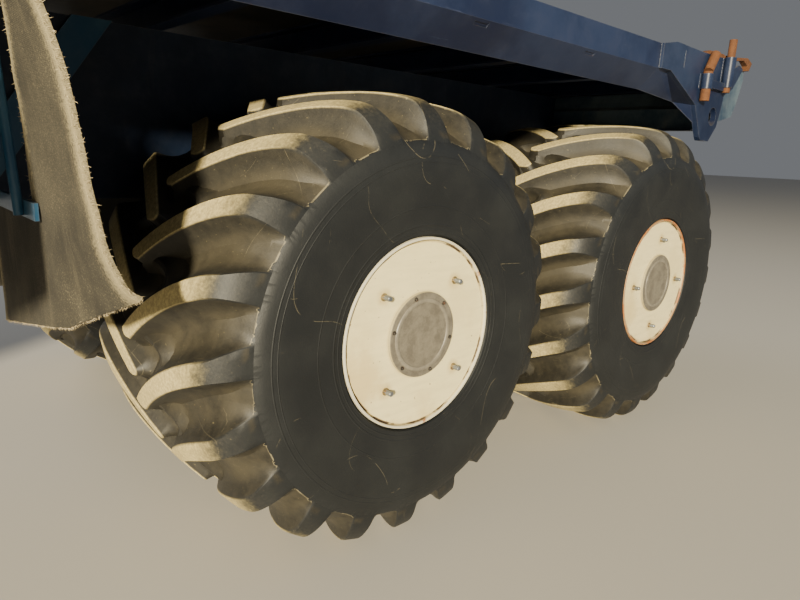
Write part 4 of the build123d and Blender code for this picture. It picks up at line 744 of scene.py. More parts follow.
def mark_tread(mesh):
    """Stores lug height and flank share on a tyre's points."""
    lines = []
    for i in range(LINE_SAMPLES + 1):
        share = i / LINE_SAMPLES
        lines.append((share, smooth_through(TREAD_LINE, share), smooth_through(FLOOR_LINE, share)))
    heights = []
    flanks = []
    for vertex in mesh.vertices:
        y = abs(vertex.co.y)
        r = math.hypot(vertex.co.x, vertex.co.z)
        if r < TREAD_LINE[-1][1]:
            heights.append(1.0)
            flanks.append(SIDEWALL_FLANK)
            continue
        best = None
        for share, (top_y, top_r), (low_y, low_r) in lines:
            dy = low_y - top_y
            dr = low_r - top_r
            size = max(dy * dy + dr * dr, 1e-9)
            sunk = min(max(((y - top_y) * dy + (r - top_r) * dr) / size, 0), 1)
            miss = (top_y + dy * sunk - y) ** 2 + (top_r + dr * sunk - r) ** 2
            if best is None or miss < best[0]:
                best = (miss, sunk, share)
        heights.append(1 - best[1])
        flanks.append(best[2])
    store_numbers(mesh, "lug_height", heights)
    store_numbers(mesh, "flank", flanks)
    store_spots(mesh)


run_tree(lug, lug_tree, {"Ridge": ridge, "Lugs in a row": LUGS_IN_ROW, "Body": carcass, "Rubber": rubber_finish})
left_tyre = plain_mesh(lug, "left_tyre")
for scrap in (lug, ridge, carcass):
    drop_object(scrap)
mark_tread(left_tyre)
show_smooth(left_tyre, TYRE_SHARP_DEGREES)
for end, place in WHEEL_PLACES.items():
    for side, sign in SIDES:
        mesh = on_axle(left_tyre, place, sign)
        tyre = place_piece(f"lugged_tyre_{end}_{side}", mesh, f"{end}_wheel_{side}")
        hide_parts(f"tyre_{end}_{side}")
print("a tyre has", len(left_tyre.polygons), "faces")

# %% [markdown]
# Bolts, studs, rivets and torn fibres are all small like things set out on lines and circles, so one of each
# is modelled and then repeated. All of them are rings of points stacked on top of each other and skinned, so
# one helper makes them, one unit large and standing on Z = 0. They have few faces, because hundreds are shown.

# %% Small repeated shapes
WASHER_SIDES = 12
WASHER_RINGS = [(0.80, 0.0, 0), (0.80, 0.12, 0)]
BOLT_SIDES = 6
HEAD_RINGS = [(0.577, 0.12, 0), (0.577, 0.60, 0), (0.47, 0.68, 0)]      # one unit across the flats
STUD_SIDES = 10
STUD_RINGS = [(1.0, 0.0, 0), (1.0, 3.3, 0), (0.8, 3.6, 0)]


def stack(sides, rings):
    """Points and faces of a closed solid through level rings of (radius, height, shift along X)."""
    points = []
    for radius, z, shift in rings:
        points += [(shift + radius * math.cos(2 * math.pi * i / sides), radius * math.sin(2 * math.pi * i / sides), z)
                   for i in range(sides)]
    faces = [tuple(reversed(range(sides)))]
    for low in range(0, len(points) - sides, sides):
        for i in range(sides):
            k = (i + 1) % sides
            faces.append((low + i, low + k, low + sides + k, low + sides + i))
    faces.append(tuple(range(len(points) - sides, len(points))))
    return points, faces


def stack_object(name, sides, rings):
    return new_object(name, new_mesh(name, *stack(sides, rings)))


def bolt_head():
    """A hexagon head with a chamfered top on a round washer."""
    points, faces = stack(WASHER_SIDES, WASHER_RINGS)
    head_points, head_faces = stack(BOLT_SIDES, HEAD_RINGS)
    faces += [tuple(len(points) + i for i in face) for face in head_faces]
    return new_object("bolt_head", new_mesh("bolt_head", points + head_points, faces))


head_shape = bolt_head()
stud_shape = stack_object("stud", STUD_SIDES, STUD_RINGS)
print("a bolt head has", len(head_shape.data.polygons), "faces")

# %% [markdown]
# A small Geometry Nodes tree puts a copy of such a shape on every point of a list. Each point carries the way
# that its copy stands along, because the bolts of a wheel stand along the axle and rivets stand up from the
# deck. A random spin with a fixed seed keeps the heads from lining up, as a spanner never leaves them so.

# %% Heads on points by Geometry Nodes


def heads_on_points():
    tree, given, result = new_tree("heads on points", [
        ("Points", "Geometry"), ("Head", "Object"), ("Size", "Float", 0.03), ("Seed", "Int", 3),
        ("Metal", "Material")], "Heads")
    link = tree.links.new
    way = tree.nodes.new("GeometryNodeInputNamedAttribute")
    way.data_type = "FLOAT_VECTOR"
    way.inputs["Name"].default_value = "way"
    spin = tree.nodes.new("FunctionNodeRandomValue")
    spin.inputs["Max"].default_value = 2 * math.pi
    link(given["Seed"], spin.inputs["Seed"])
    start = tree.nodes.new("ShaderNodeCombineXYZ")
    link(spin.outputs["Value"], start.inputs["Z"])
    aligned = tree.nodes.new("FunctionNodeAlignRotationToVector")
    aligned.axis = "Z"
    link(start.outputs[0], aligned.inputs["Rotation"])
    link(way.outputs["Attribute"], aligned.inputs["Vector"])
    placed = tree.nodes.new("GeometryNodeInstanceOnPoints")
    link(given["Points"], placed.inputs["Points"])
    link(shape_of(tree, given["Head"]), placed.inputs["Instance"])
    link(aligned.outputs["Rotation"], placed.inputs["Rotation"])
    link(given["Size"], placed.inputs["Scale"])
    paint_result(tree, realized(tree, placed.outputs["Instances"]), given["Metal"], result)
    return tree


head_tree = heads_on_points()


def bolt_mesh(name, places, size, metal, head=head_shape):
    """One plain mesh with a head on every (point, way) of a list."""
    points = bpy.data.meshes.new(name)
    points.from_pydata([point for point, way in places], [], [])
    store_vectors(points, "way", [way for point, way in places])
    holder = new_object(name, points)
    run_tree(holder, head_tree, {"Head": head, "Size": size, "Metal": metal})
    made = plain_mesh(holder, name)
    drop_object(holder)
    return made


def join_meshes(name, meshes):
    """One mesh from several, each with its own finish."""
    shape = bmesh.new()
    finishes = []
    for mesh in meshes:
        first = len(shape.faces)
        own = list(mesh.materials)
        shape.from_mesh(mesh)
        shape.faces.ensure_lookup_table()
        for face in shape.faces[first:]:
            finish = own[face.material_index] if own else None
            if finish not in finishes:
                finishes.append(finish)
            face.material_index = finishes.index(finish)
    joined = bpy.data.meshes.new(name)
    shape.to_mesh(joined)
    shape.free()
    for finish in finishes:
        joined.materials.append(finish)
    return joined


print("the heads' tree has", len(head_tree.nodes), "nodes")

# %% [markdown]
# Steel that has stood outside is never one colour. The bolts and studs are dull grey with brown rust creeping
# over them. The covers' paint is cream, brushed on thickly: it has faint streaks, specks of dirt, a dark line
# of grime inside the lip, a yellow halo round each bolt, and a grey-brown hub plate with a paler ring. The
# wheels differ, so the same recipe is mixed three times, with a clean lip, a dull one and a rusty one.

# %% Finishes of the wheels
RUST_DARK = (0.12, 0.045, 0.020)
RUST_BROWN = (0.21, 0.078, 0.028)
RUST_ORANGE = (0.36, 0.135, 0.040)
DUST = (0.42, 0.345, 0.235)
CREAM = (0.80, 0.69, 0.38)
CREAM_DIRT = (0.64, 0.53, 0.26)
CREAM_STAIN = (0.58, 0.44, 0.19)
CREAM_SPECK = (0.30, 0.22, 0.12)
CREAM_SPOT = (0.22, 0.15, 0.09)
BOLT_HALO = (0.52, 0.40, 0.17)
GROOVE_GRIME = (0.055, 0.035, 0.022)
HUB_GREY = (0.105, 0.092, 0.073)
HUB_PALE = (0.190, 0.170, 0.130)
HUB_RING = (0.40, 0.37, 0.30)
HUB_SPECK = (0.08, 0.065, 0.05)
HUB_RIM_DIRT = (0.50, 0.42, 0.22)
COVER_BOLTS = 4
COVER_BOLT_RADIUS = 0.240
COVER_LIP_RADIUS = 0.3385
HALO_OFFSET = 0.52                  # along the axle, just off the cover's face
HUB_PLATE_RADIUS = 0.155
HUB_RING_RADIUS = 0.125
BOLT_TURNS = {"front": 20, "middle": 41, "rear": 0}


def bare_steel(name, colour, rust):
    f = Finish(name, roughness=0.5, metallic=0.6)
    blotch = f.noise(40.0, detail=6.0, rough=0.7)
    spots = f.step(f.noise(90.0, detail=6.0, rough=0.75), 0.62 - 0.3 * rust, 0.75 - 0.25 * rust)
    steel = f.mix(f.step(blotch, 0.3, 0.7), colour, scaled(colour, 0.6))
    f.colour(f.over(steel, RUST_BROWN, spots))
    f.rough(f.plus(f.times(spots, 0.35), 0.42))
    f.bump(blotch, 0.001, 0.3)
    return f.material


def bolt_halos(f, paint, spot, ragged, bolt_turn):
    """The paint with a yellow halo round each of the cover's bolts."""
    for i in range(COVER_BOLTS):
        turn = math.radians(bolt_turn + 360 / COVER_BOLTS * i)
        away = f.node("ShaderNodeVectorMath", operation="DISTANCE")
        f.feed(away.inputs[0], spot)
        away.inputs[1].default_value = (COVER_BOLT_RADIUS * math.cos(turn), HALO_OFFSET,
                                        COVER_BOLT_RADIUS * math.sin(turn))
        halo = f.step(f.plus(away.outputs["Value"], ragged), 0.040, 0.016)
        paint = f.over(paint, BOLT_HALO, halo, 0.6)
    return paint


def cover_paint(end, lip_colour, lip_rust, grime):
    """Cream paint of a wheel cover. Places on it are read from the spot attribute."""
    f = Finish(f"cover paint {end}", roughness=0.42)
    spot = f.spot()
    r = f.radius(spot)
    x, _, z = f.axes(spot)
    clouds = f.noise(5.0, detail=5.0, where=spot)
    streaks = f.noise(30.0, detail=4.0, where=spot, stretch=(0.25, 1.0, 1.6))
    fine = f.noise(160.0, detail=5.0, rough=0.7, where=spot)
    paint = f.mix(f.step(streaks, 0.35, 0.75), CREAM, scaled(CREAM, 0.90))
    paint = f.over(paint, CREAM_DIRT, f.step(clouds, 0.50, 0.72), 0.45)
    low_side = f.times(f.step(f.minus(x, z), 0.12, 0.38), f.step(clouds, 0.42, 0.60))
    paint = f.over(paint, CREAM_STAIN, low_side, 0.55)
    paint = f.over(paint, CREAM_SPECK, f.step(fine, 0.66, 0.73), 0.6)
    paint = f.over(paint, CREAM_SPOT, f.step(f.noise(52.0, detail=2.0, where=spot), 0.70, 0.73), 0.75)
    ragged = f.times(f.minus(f.noise(38.0, detail=5.0, where=spot), 0.5), 0.02)
    paint = bolt_halos(f, paint, spot, ragged, BOLT_TURNS[end])

    # the lip and the broken dark line inside it
    groove_start = COVER_LIP_RADIUS - 0.007
    broken = f.step(f.noise(11.0, detail=6.0, where=spot), 0.46, 0.56)
    near_lip = f.step(f.plus(r, f.times(ragged, 0.3)), groove_start - grime, groove_start)
    paint = f.over(paint, RUST_DARK, f.times(near_lip, broken), 0.75)
    groove = f.times(f.step(r, groove_start - 0.001, groove_start + 0.001), f.step(r, 0.3390, 0.3375))
    paint = f.over(paint, GROOVE_GRIME, groove, f.plus(f.times(broken, 0.6), 0.35))
    rusted = f.step(f.noise(22.0, detail=6.0, where=spot), 0.62 - lip_rust, 0.74 - lip_rust)
    paint = f.over(paint, f.mix(rusted, lip_colour, RUST_ORANGE), f.step(r, 0.3380, 0.3390))

    # the hub plate
    hub = f.mix(f.step(f.noise(26.0, detail=7.0, rough=0.7, where=spot), 0.30, 0.72), HUB_GREY, HUB_PALE)
    ring = f.times(f.step(r, HUB_RING_RADIUS - 0.010, HUB_RING_RADIUS - 0.004),
                   f.step(r, HUB_RING_RADIUS + 0.010, HUB_RING_RADIUS + 0.004))
    hub = f.over(hub, HUB_RING, ring, 0.16)
    hub = f.over(hub, HUB_SPECK, f.step(fine, 0.60, 0.70), 0.5)
    paint = f.over(paint, HUB_RIM_DIRT, f.step(r, HUB_PLATE_RADIUS + 0.012, HUB_PLATE_RADIUS + 0.001), 0.5)
    f.colour(f.over(paint, hub, f.step(r, HUB_PLATE_RADIUS + 0.0015, HUB_PLATE_RADIUS - 0.0005)))
    f.rough(f.plus(f.times(f.step(clouds, 0.4, 0.7), 0.2), 0.40))
    f.bump(f.plus(f.times(streaks, 0.7), f.times(fine, 0.3)), 0.0012, 0.35)
    return f.material


stud_steel = bare_steel("stud steel", (0.22, 0.24, 0.27), 0.15)
nut_steel = bare_steel("nut steel", (0.40, 0.31, 0.15), 0.35)
dark_bolt = bare_steel("hub bolt steel", (0.09, 0.08, 0.07), 0.2)
WHEEL_LOOKS = {
    "front": cover_paint("front", (0.80, 0.78, 0.72), 0.05, 0.012),
    "middle": cover_paint("middle", (0.56, 0.52, 0.40), 0.0, 0.004),
    "rear": cover_paint("rear", (0.34, 0.20, 0.10), 0.16, 0.010),
}
print(len(WHEEL_LOOKS), "wheel finishes")

# %% [markdown]
# The wheels wear round flat covers, painted cream, with a raised lip and a grey hub plate. Nearly all of a
# wheel is turned, so rim and cover are lathed from one outline that runs from the hub plate over the lip,
# along the rim's barrel and back through the hub. A spun profile in the Screw modifier would do as well, but
# a list of points can be set against the photograph radius by radius. Four studs with nuts hold each cover.

# %% Wheels with their covers
WHEEL_OUTLINE = [
    (0.530, 0.0), (0.530, 0.1165), (0.5325, 0.1185), (0.5335, 0.122), (0.5335, 0.128), (0.5325, 0.1315),
    (0.530, 0.1335), (0.530, 0.1530), (0.5290, 0.1548), (0.5270, 0.1555), (0.5182, 0.1555), (0.5180, 0.1600),
    (0.5180, 0.3300), (0.5172, 0.3310), (0.5105, 0.3312), (0.5100, 0.3320), (0.5100, 0.3365), (0.5110, 0.3375),
    (0.5235, 0.3390), (0.5262, 0.3402), (0.5270, 0.3420), (0.5270, 0.3455), (0.5262, 0.3475), (0.5240, 0.3487),
    (0.5200, 0.3490), (0.5110, 0.3490), (0.5095, 0.3180), (-0.5095, 0.3180), (-0.5110, 0.3490), (-0.5240, 0.3490),
    (-0.5270, 0.3450), (-0.5270, 0.2995), (0.4300, 0.2995), (0.4300, 0.2010), (0.2000, 0.2000), (0.2000, 0.0905),
    (0.4900, 0.0905), (0.4900, 0.0),
]
WHEEL_STEPS = 96
WHEEL_SHARP_DEGREES = 28
COVER_FACE = 0.518                  # offsets of the faces that the nuts and the hub's bolts stand on
HUB_FACE = 0.530
NUT_SIZE = 0.018
STUD_SIZE = 0.0095
HUB_BOLTS = 6
HUB_BOLT_RADIUS = 0.142
HUB_BOLT_SIZE = 0.0095
HUB_BOLT_TURN = 12


def ring_places(count, radius, offset, turn):
    places = []
    for i in range(count):
        angle = math.radians(turn + 360 * i / count)
        places.append(((radius * math.cos(angle), offset, radius * math.sin(angle)), (0, 1, 0)))
    return places


def wheel_mesh(end):
    """Rim, cover and bolts of one left wheel about its own centre, with the spot attribute."""
    studs = ring_places(COVER_BOLTS, COVER_BOLT_RADIUS, COVER_FACE, BOLT_TURNS[end])
    parts = [lathe("wheel_form", WHEEL_OUTLINE, WHEEL_STEPS, WHEEL_LOOKS[end]),
             bolt_mesh("nuts", studs, NUT_SIZE, nut_steel),
             bolt_mesh("studs", studs, STUD_SIZE, stud_steel, stud_shape)]
    if end != "rear":
        hub_bolts = ring_places(HUB_BOLTS, HUB_BOLT_RADIUS, HUB_FACE, HUB_BOLT_TURN)
        parts.append(bolt_mesh("hub_bolts", hub_bolts, HUB_BOLT_SIZE, dark_bolt))
    joined = join_meshes("wheel", parts)
    store_spots(joined)
    show_smooth(joined, WHEEL_SHARP_DEGREES)
    return joined


for end, place in WHEEL_PLACES.items():
    left_wheel = wheel_mesh(end)
    for side, sign in SIDES:
        mesh = on_axle(left_wheel, place, sign)
        wheel = place_piece(f"covered_wheel_{end}_{side}", mesh, f"{end}_wheel_{side}")
        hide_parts(f"wheel_{end}_{side}")
drop_object(stud_shape)
print("a wheel has", len(left_wheel.polygons), "faces")

# %% [markdown]
# All the painted steel shares one recipe. The sun bleaches the paint in patches, knocks chip it along the
# edges, where the primer shows and rust follows, and dust lies on whatever faces up. The edges are found by
# the Bevel node: it rounds the normal near an edge, and wherever that rounded normal leaves the true one,
# paint is thin. Each part gets its own colour, age and amount of dust. The stays' own teal blue is made
# paler, as painted light for the sun that falls on them.

# %% Painted and rusty steel
PRIMER = (0.085, 0.095, 0.115)
WORN_EDGE = 0.007


def painted_steel(name, colour, faded, chips=0.5, dust=0.5, rust=0.3, gloss=0.38, low_dirt=None):
    """Weathered paint. low_dirt names the two heights between which splashed dirt thins out."""
    f = Finish(name)
    f.shader.inputs["Specular IOR Level"].default_value = 0.28
    clouds = f.noise(1.7, detail=6.0, rough=0.6)
    blotch = f.noise(9.0, detail=7.0, rough=0.68)
    grain = f.noise(75.0, detail=5.0, rough=0.72)
    runs = f.noise(14.0, detail=5.0, rough=0.6, stretch=(1.0, 1.0, 0.14))
    scratch = f.noise(26.0, detail=5.0, rough=0.8, stretch=(0.06, 0.4, 1.5))

    # faded paint with pale scratches, chips and rust
    paint = f.mix(f.step(f.plus(clouds, f.times(blotch, 0.35)), 0.52, 0.86), colour, faded)
    paint = f.over(paint, tuple(c * 1.7 + 0.05 for c in faded), f.step(scratch, 0.66, 0.73), 0.45)
    weak = f.plus(f.times(f.edge(WORN_EDGE), 2.2), f.times(blotch, 0.75))
    chipped = f.step(weak, 0.98 - 0.40 * chips, 1.08 - 0.40 * chips)
    bared = f.mix(f.step(f.plus(grain, 0.25 * rust), 0.60, 0.74), PRIMER, RUST_BROWN)
    paint = f.over(paint, bared, chipped, 0.7)
    rusty = f.step(f.plus(f.times(blotch, 0.7), f.times(grain, 0.3)), 0.76 - 0.22 * rust, 0.84 - 0.22 * rust)
    paint = f.over(paint, f.mix(grain, RUST_DARK, RUST_ORANGE), rusty, 0.9)
    paint = f.over(paint, DUST, f.step(runs, 0.58, 0.80), 0.22 * dust)

    # dust that lies, clings and was splashed up
    swept = f.plus(f.times(clouds, 0.35), f.times(scratch, 0.45), f.times(grain, 0.20))
    lying = f.times(f.step(f.facing()[2], 0.25, 0.95), f.step(swept, 0.30, 0.74))
    film = f.math("ADD", f.times(lying, min(0.25 + 0.65 * dust, 0.75)),
                  f.times(f.step(blotch, 0.4, 0.8), 0.16 * dust), clamp=True)
    if low_dirt:
        splash = f.step(f.plus(f.axes()[2], f.times(blotch, 0.25)), low_dirt[1], low_dirt[0])
        film = f.math("MAXIMUM", film, f.times(splash, 0.6))
    f.colour(f.over(paint, DUST, film))
    dull = f.math("MAXIMUM", f.times(rusty, 0.9), f.times(film, 0.9))
    f.rough(f.plus(f.times(dull, 0.9 - gloss), f.plus(f.times(grain, 0.12), gloss - 0.06)))
    relief = f.plus(f.times(f.minus(1.0, chipped), 0.5), f.plus(f.times(grain, 0.25), f.times(rusty, 0.35)))
    f.bump(relief, 0.0012, 0.45)
    return f.material


def rusty_steel(name, brightness):
    f = Finish(name, roughness=0.85)
    blotch = f.noise(24.0, detail=7.0, rough=0.7)
    grain = f.noise(150.0, detail=5.0, rough=0.75)
    rust = f.mix(f.step(blotch, 0.30, 0.60), scaled(RUST_BROWN, brightness), scaled(RUST_ORANGE, brightness))
    rust = f.over(rust, RUST_DARK, f.step(grain, 0.50, 0.70))
    f.colour(f.over(rust, DUST, f.step(blotch, 0.64, 0.74), 0.25))
    f.bump(f.plus(f.times(blotch, 0.6), f.times(grain, 0.5)), 0.002, 0.6)
    return f.material


NAVY = (0.0055, 0.0100, 0.034)
NAVY_FADED = (0.013, 0.022, 0.060)
CHASSIS = (0.006, 0.013, 0.034)
CHASSIS_FADED = (0.012, 0.024, 0.055)
CAB_NAVY = (0.007, 0.017, 0.062)
CAB_FADED = (0.014, 0.029, 0.088)

deck_paint = painted_steel("deck paint", NAVY, NAVY_FADED, chips=0.40, dust=0.10, rust=0.15)
corner_paint = painted_steel("corner bracket paint", (0.0065, 0.0120, 0.036), (0.018, 0.030, 0.070), chips=0.45,
                             dust=0.10, rust=0.2)
weld_paint = painted_steel("weld paint", NAVY_FADED, (0.03, 0.04, 0.07), chips=0.0, dust=0.1, rust=0.1)
# The stays keep their own teal blue, made paler as painted light for the sun that falls on them.
stay_paint_with_painted_light = painted_steel("stay paint with painted light", (0.012, 0.055, 0.125), (0.030, 0.100, 0.170), dust=0.2, rust=0.2)
tail_paint = painted_steel("tail paint", (0.020, 0.040, 0.075), (0.10, 0.14, 0.18), chips=0.7, dust=0.4, rust=0.35)
chassis_paint = painted_steel("chassis paint", CHASSIS, CHASSIS_FADED, chips=0.25, dust=0.2, rust=0.15,
                              gloss=0.5, low_dirt=(0.95, 1.40))
axle_paint = painted_steel("axle paint", (0.014, 0.018, 0.026), (0.04, 0.042, 0.045), chips=0.4, dust=0.8, rust=0.5,
                           gloss=0.55, low_dirt=(0.75, 1.15))
cab_paint = painted_steel("cab paint", CAB_NAVY, CAB_FADED, chips=0.30, dust=0.30, rust=0.08, gloss=0.50,
                          low_dirt=(1.75, 2.10))
fender_paint = painted_steel("fender paint", CAB_NAVY, CAB_FADED, chips=0.45, dust=0.65, rust=0.2, gloss=0.32)
bumper_paint = painted_steel("bumper paint", NAVY, NAVY_FADED, dust=0.4, rust=0.2, low_dirt=(0.85, 1.35))
locker_paint = painted_steel("locker paint", NAVY, NAVY_FADED, rust=0.22, low_dirt=(1.10, 1.45))
deck_steel = painted_steel("worn deck steel", (0.040, 0.040, 0.043), (0.085, 0.078, 0.070), chips=0.4, dust=0.30,
                           rust=0.34, gloss=0.5)
cylinder_paint = painted_steel("cylinder paint", (0.012, 0.012, 0.014), (0.03, 0.03, 0.033), chips=0.3, dust=0.6,
                               rust=0.1, gloss=0.35)
engine_paint = painted_steel("engine paint", (0.13, 0.14, 0.15), (0.20, 0.20, 0.20), chips=0.3, dust=0.7)
pin_rust = rusty_steel("rusty pins", 0.34)
print("painted finishes ready")

# %% [markdown]
# A few finishes are not paint: polished rods, heat-stained exhaust steel, tinted window glass with dust in its
# patches, grained dash plastic, the red lamp lenses and the mirrors. Each has a node network of a few lines.
# The CAD nodes that are good enough as they are then get their finish, and their meshes are left alone.

# %% Other hard finishes
ROD_PALE, ROD_DARK = (0.72, 0.73, 0.75), (0.55, 0.56, 0.58)
PIPE_PALE, PIPE_DARK = (0.34, 0.30, 0.26), (0.22, 0.18, 0.15)
GLASS_TINT = (0.018, 0.026, 0.028)
LENS_RED, LENS_DIRT = (0.42, 0.012, 0.010), (0.20, 0.08, 0.05)
MIRROR_BLACK, MIRROR_SILVER = (0.012, 0.012, 0.013), (0.80, 0.82, 0.84)


def polished_rod():
    f = Finish("polished rod", roughness=0.12, metallic=1.0)
    rings = f.noise(220.0, detail=3.0, stretch=(1.0, 0.05, 0.05))
    f.colour(f.mix(f.step(rings, 0.35, 0.75), ROD_PALE, ROD_DARK))
    f.rough(f.plus(f.times(rings, 0.12), 0.08))
    return f.material


def exhaust_steel():
    f = Finish("exhaust steel", roughness=0.42, metallic=0.75)
    blotch = f.noise(12.0, detail=6.0, rough=0.65)
    heat = f.step(f.plus(f.axes()[2], f.times(blotch, 0.3)), 3.45, 2.75)
    steel = f.mix(f.step(blotch, 0.35, 0.7), PIPE_PALE, PIPE_DARK)
    f.colour(f.over(steel, RUST_BROWN, heat, f.step(blotch, 0.30, 0.62)))
    f.rough(f.plus(f.times(blotch, 0.45), 0.22))
    f.bump(blotch, 0.001, 0.3)
    return f.material


def window_glass():
    f = Finish("window glass", roughness=0.05)
    grime = f.noise(7.0, detail=6.0, rough=0.7)
    speck = f.noise(120.0, detail=4.0, rough=0.7)
    film = f.times(f.step(f.plus(grime, f.times(speck, 0.25)), 0.55, 0.95), 0.5)
    f.colour(f.over(GLASS_TINT, DUST, film))
    f.rough(f.plus(f.times(film, 0.6), 0.04))
    f.feed(f.shader.inputs["Alpha"], f.plus(f.times(film, 0.4), 0.42))
    return f.material


def grained_plastic(name, colour, grain_size=180.0, roughness=0.6):
    f = Finish(name, roughness=roughness)
    grain = f.cells(grain_size)
    dusty = f.step(f.noise(8.0, detail=6.0), 0.45, 0.8)
    f.colour(f.over(colour, tuple(c * 0.6 + d * 0.3 for c, d in zip(colour, DUST)), dusty, 0.35))
    f.rough(f.plus(f.times(dusty, 0.2), roughness - 0.1))
    f.bump(grain, 0.0006, 0.5)
    return f.material


def red_lens():
    f = Finish("red lens", roughness=0.18)
    dirt = f.step(f.noise(20.0, detail=6.0), 0.5, 0.8)
    f.colour(f.over(LENS_RED, LENS_DIRT, dirt, 0.5))
    f.rough(f.plus(f.times(dirt, 0.4), 0.15))
    f.bump(f.stripes(45.0, "Y"), 0.002, 0.6)
    return f.material


def mirror_finish():
    """Black housing with glass on the face that looks back along the truck."""
    f = Finish("mirror", roughness=0.35)
    glass = f.step(f.facing()[0], -0.90, -0.97)
    dirt = f.step(f.noise(16.0, detail=6.0), 0.45, 0.85)
    f.colour(f.over(f.over(MIRROR_BLACK, DUST, dirt, 0.4), MIRROR_SILVER, glass))
    f.feed(f.shader.inputs["Metallic"], glass)
    f.rough(f.mix(glass, f.plus(f.times(dirt, 0.3), 0.35), f.times(dirt, 0.12)))
    return f.material


HARD_FINISHES = {
    deck_paint: ("deck_frame", "headboard"),
    # the stays' paint, made paler as painted light
    stay_paint_with_painted_light: ("flap_hangers",),
    corner_paint: ("rear_corner_brackets",),
    tail_paint: ("rear_beam",),
    chassis_paint: ("rear_rails", "front_rails", "pivot_yoke", "cab_steps"),
    axle_paint: ("tandem_drive", "tandem_suspension", "front_axle"),
    cab_paint: ("cab_shell", "door_left", "door_right", "engine_hood"),
    fender_paint: ("front_fenders",),
    bumper_paint: ("front_bumper",),
    locker_paint: ("tool_box", "fuel_tank"),
    deck_steel: ("deck_plate",),
    cylinder_paint: ("steering_barrel_left", "steering_barrel_right"),
    engine_paint: ("engine_block",),
    pin_rust: ("corner_pins",),
    polished_rod(): ("steering_rod_left", "steering_rod_right"),
    exhaust_steel(): ("exhaust_stack",),
    window_glass(): ("cab_glass", "door_glass_left", "door_glass_right"),
    grained_plastic("dash plastic", (0.030, 0.030, 0.032)): ("dashboard",),
    red_lens(): ("tail_lamps",),
    mirror_finish(): ("mirrors",),
}


def dress(node, finish):
    """Gives a CAD node its finish and leaves its mesh alone."""
    thing = nodes[node]
    if not thing.material_slots:
        thing.data.materials.append(finish)
    for slot in thing.material_slots:
        slot.material = finish


for finish, names in HARD_FINISHES.items():
    for node in names:
        dress(node, finish)
print(sum(len(names) for names in HARD_FINISHES.values()), "nodes have their finish")

# %% [markdown]
# The deck's cross members are cut square and welded to the folded rail, and their lower corners would come out
# through its slanted lip. On the truck they are trimmed to the lip, so the frame is shown with them trimmed.

# %% Cross members trimmed to the rail's lip
RAIL_Y = 1.575
CREASE_Z = 1.914                    # where the rail's web folds into its lip, which leans in at 45 degrees
SLACK = 0.0002
TRIM = 0.004


def trimmed_frame(node):
    mesh = nodes[node].data.copy()
    for vertex in mesh.vertices:
        lip = RAIL_Y - max(CREASE_Z - vertex.co.z, 0)
        if abs(vertex.co.y) > lip + SLACK and vertex.co.z < CREASE_Z:
            vertex.co.y = math.copysign(lip - TRIM, vertex.co.y)
    return mesh


trimmed = place_piece("trimmed_deck_frame", trimmed_frame("deck_frame"), "rear_frame")
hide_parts("deck_frame")
print("deck frame trimmed")

# %% [markdown]
# Ahead of the tandem wheels hangs a mud flap cut from old conveyor belting: thick, stiff, wider below than
# above, with its outer lower corner curled back against the tyre and its cut edges frayed to a pale fuzz. It
# hangs along three measured lines, at its outer edge, part way in and at its inner edge, so it is built as a
# grid between those lines and then given its thickness. The grid is finer towards the frayed edge, because an
# attribute on its points tells the finish how far that edge is.

# %% Shape of the mud flap
TANDEM_X = WHEEL_PLACES["middle"].x
DECK_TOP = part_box("deck_plate")[1].z
FLAP_THICK = 0.016
FLAP_ROUNDING = 0.003
FLAP_CORNER_DEGREES = 50
FLAP_SHARP_DEGREES = 40
FLAP_UPPER = [(1.158, 0.225), (1.113, 0.379), (1.084, 0.526)]      # ahead of the axle, below the deck's top
FLAP_LINES = [           # offset off the truck's middle, and the places down the line
    (1.575, FLAP_UPPER + [(1.065, 0.677), (1.044, 0.798), (1.006, 0.905), (0.966, 0.939)]),
    (1.230, FLAP_UPPER + [(1.067, 0.677), (1.058, 0.800), (1.054, 0.930), (1.052, 1.083)]),
    (0.425, FLAP_UPPER + [(1.070, 0.677), (1.064, 0.800), (1.062, 1.020), (1.062, 1.242)]),
]
# the strip's inner edge: below the deck's top, offset off the truck's middle
FLAP_NECK = [(0.215, 1.345), (0.295, 1.274), (0.428, 1.147), (0.551, 1.092), (0.686, 1.049), (0.795, 1.026)]
FLAP_OUTER = FLAP_LINES[0][0]
FLAP_INNER = FLAP_LINES[-1][0]
SLIT_DROP, SLIT_Y = FLAP_NECK[-1]   # where the strip ends and the wide apron starts
SLIT_SHARE = 4 / 6                  # the same place, along the lines
STRIP_ROWS = 34
APRON_ROWS = 26
TO_EDGE = [0, 0.2, 0.4, 0.58, 0.74, 0.85, 0.92, 0.96, 0.985, 1]
TO_SLIT = [0, 0.02, 0.06, 0.2, 0.4, 0.6, 0.8]
APRON_YS = ([FLAP_INNER + (SLIT_Y - FLAP_INNER) * share for share in TO_SLIT]
            + [SLIT_Y + (FLAP_OUTER - SLIT_Y) * share for share in TO_EDGE])
WAVE_DEPTH, WAVES_ACROSS, WAVES_DOWN = 0.005, 3.1, 7.0
FRAY_DEPTH, FRAYS_PER_METRE = 0.0035, 90
SIDEWAYS, UPRIGHT = Vector((0, 1, 0)), Vector((0, 0, 1))


def between(points, x):
    """Straight interpolation in a list of (x, value) points."""
    for (x0, v0), (x1, v1) in zip(points, points[1:]):
        if x <= x1:
            break
    share = min(max((x - x0) / (x1 - x0), 0), 1)
    return v0 + (v1 - v0) * share


def flap_place(y, share):
    """Place on the flap's middle surface, from the offset off the truck's middle and the share down it."""
    lines = [(line_y, smooth_through(line, share)) for line_y, line in reversed(FLAP_LINES)]
    ahead = between([(line_y, place[0]) for line_y, place in lines], y)
    drop = between([(line_y, place[1]) for line_y, place in lines], y)
    wave = WAVE_DEPTH * noise.noise(Vector((y * WAVES_ACROSS, share * WAVES_DOWN, 0.3)))
    return Vector((TANDEM_X + ahead + wave, y, DECK_TOP - drop))


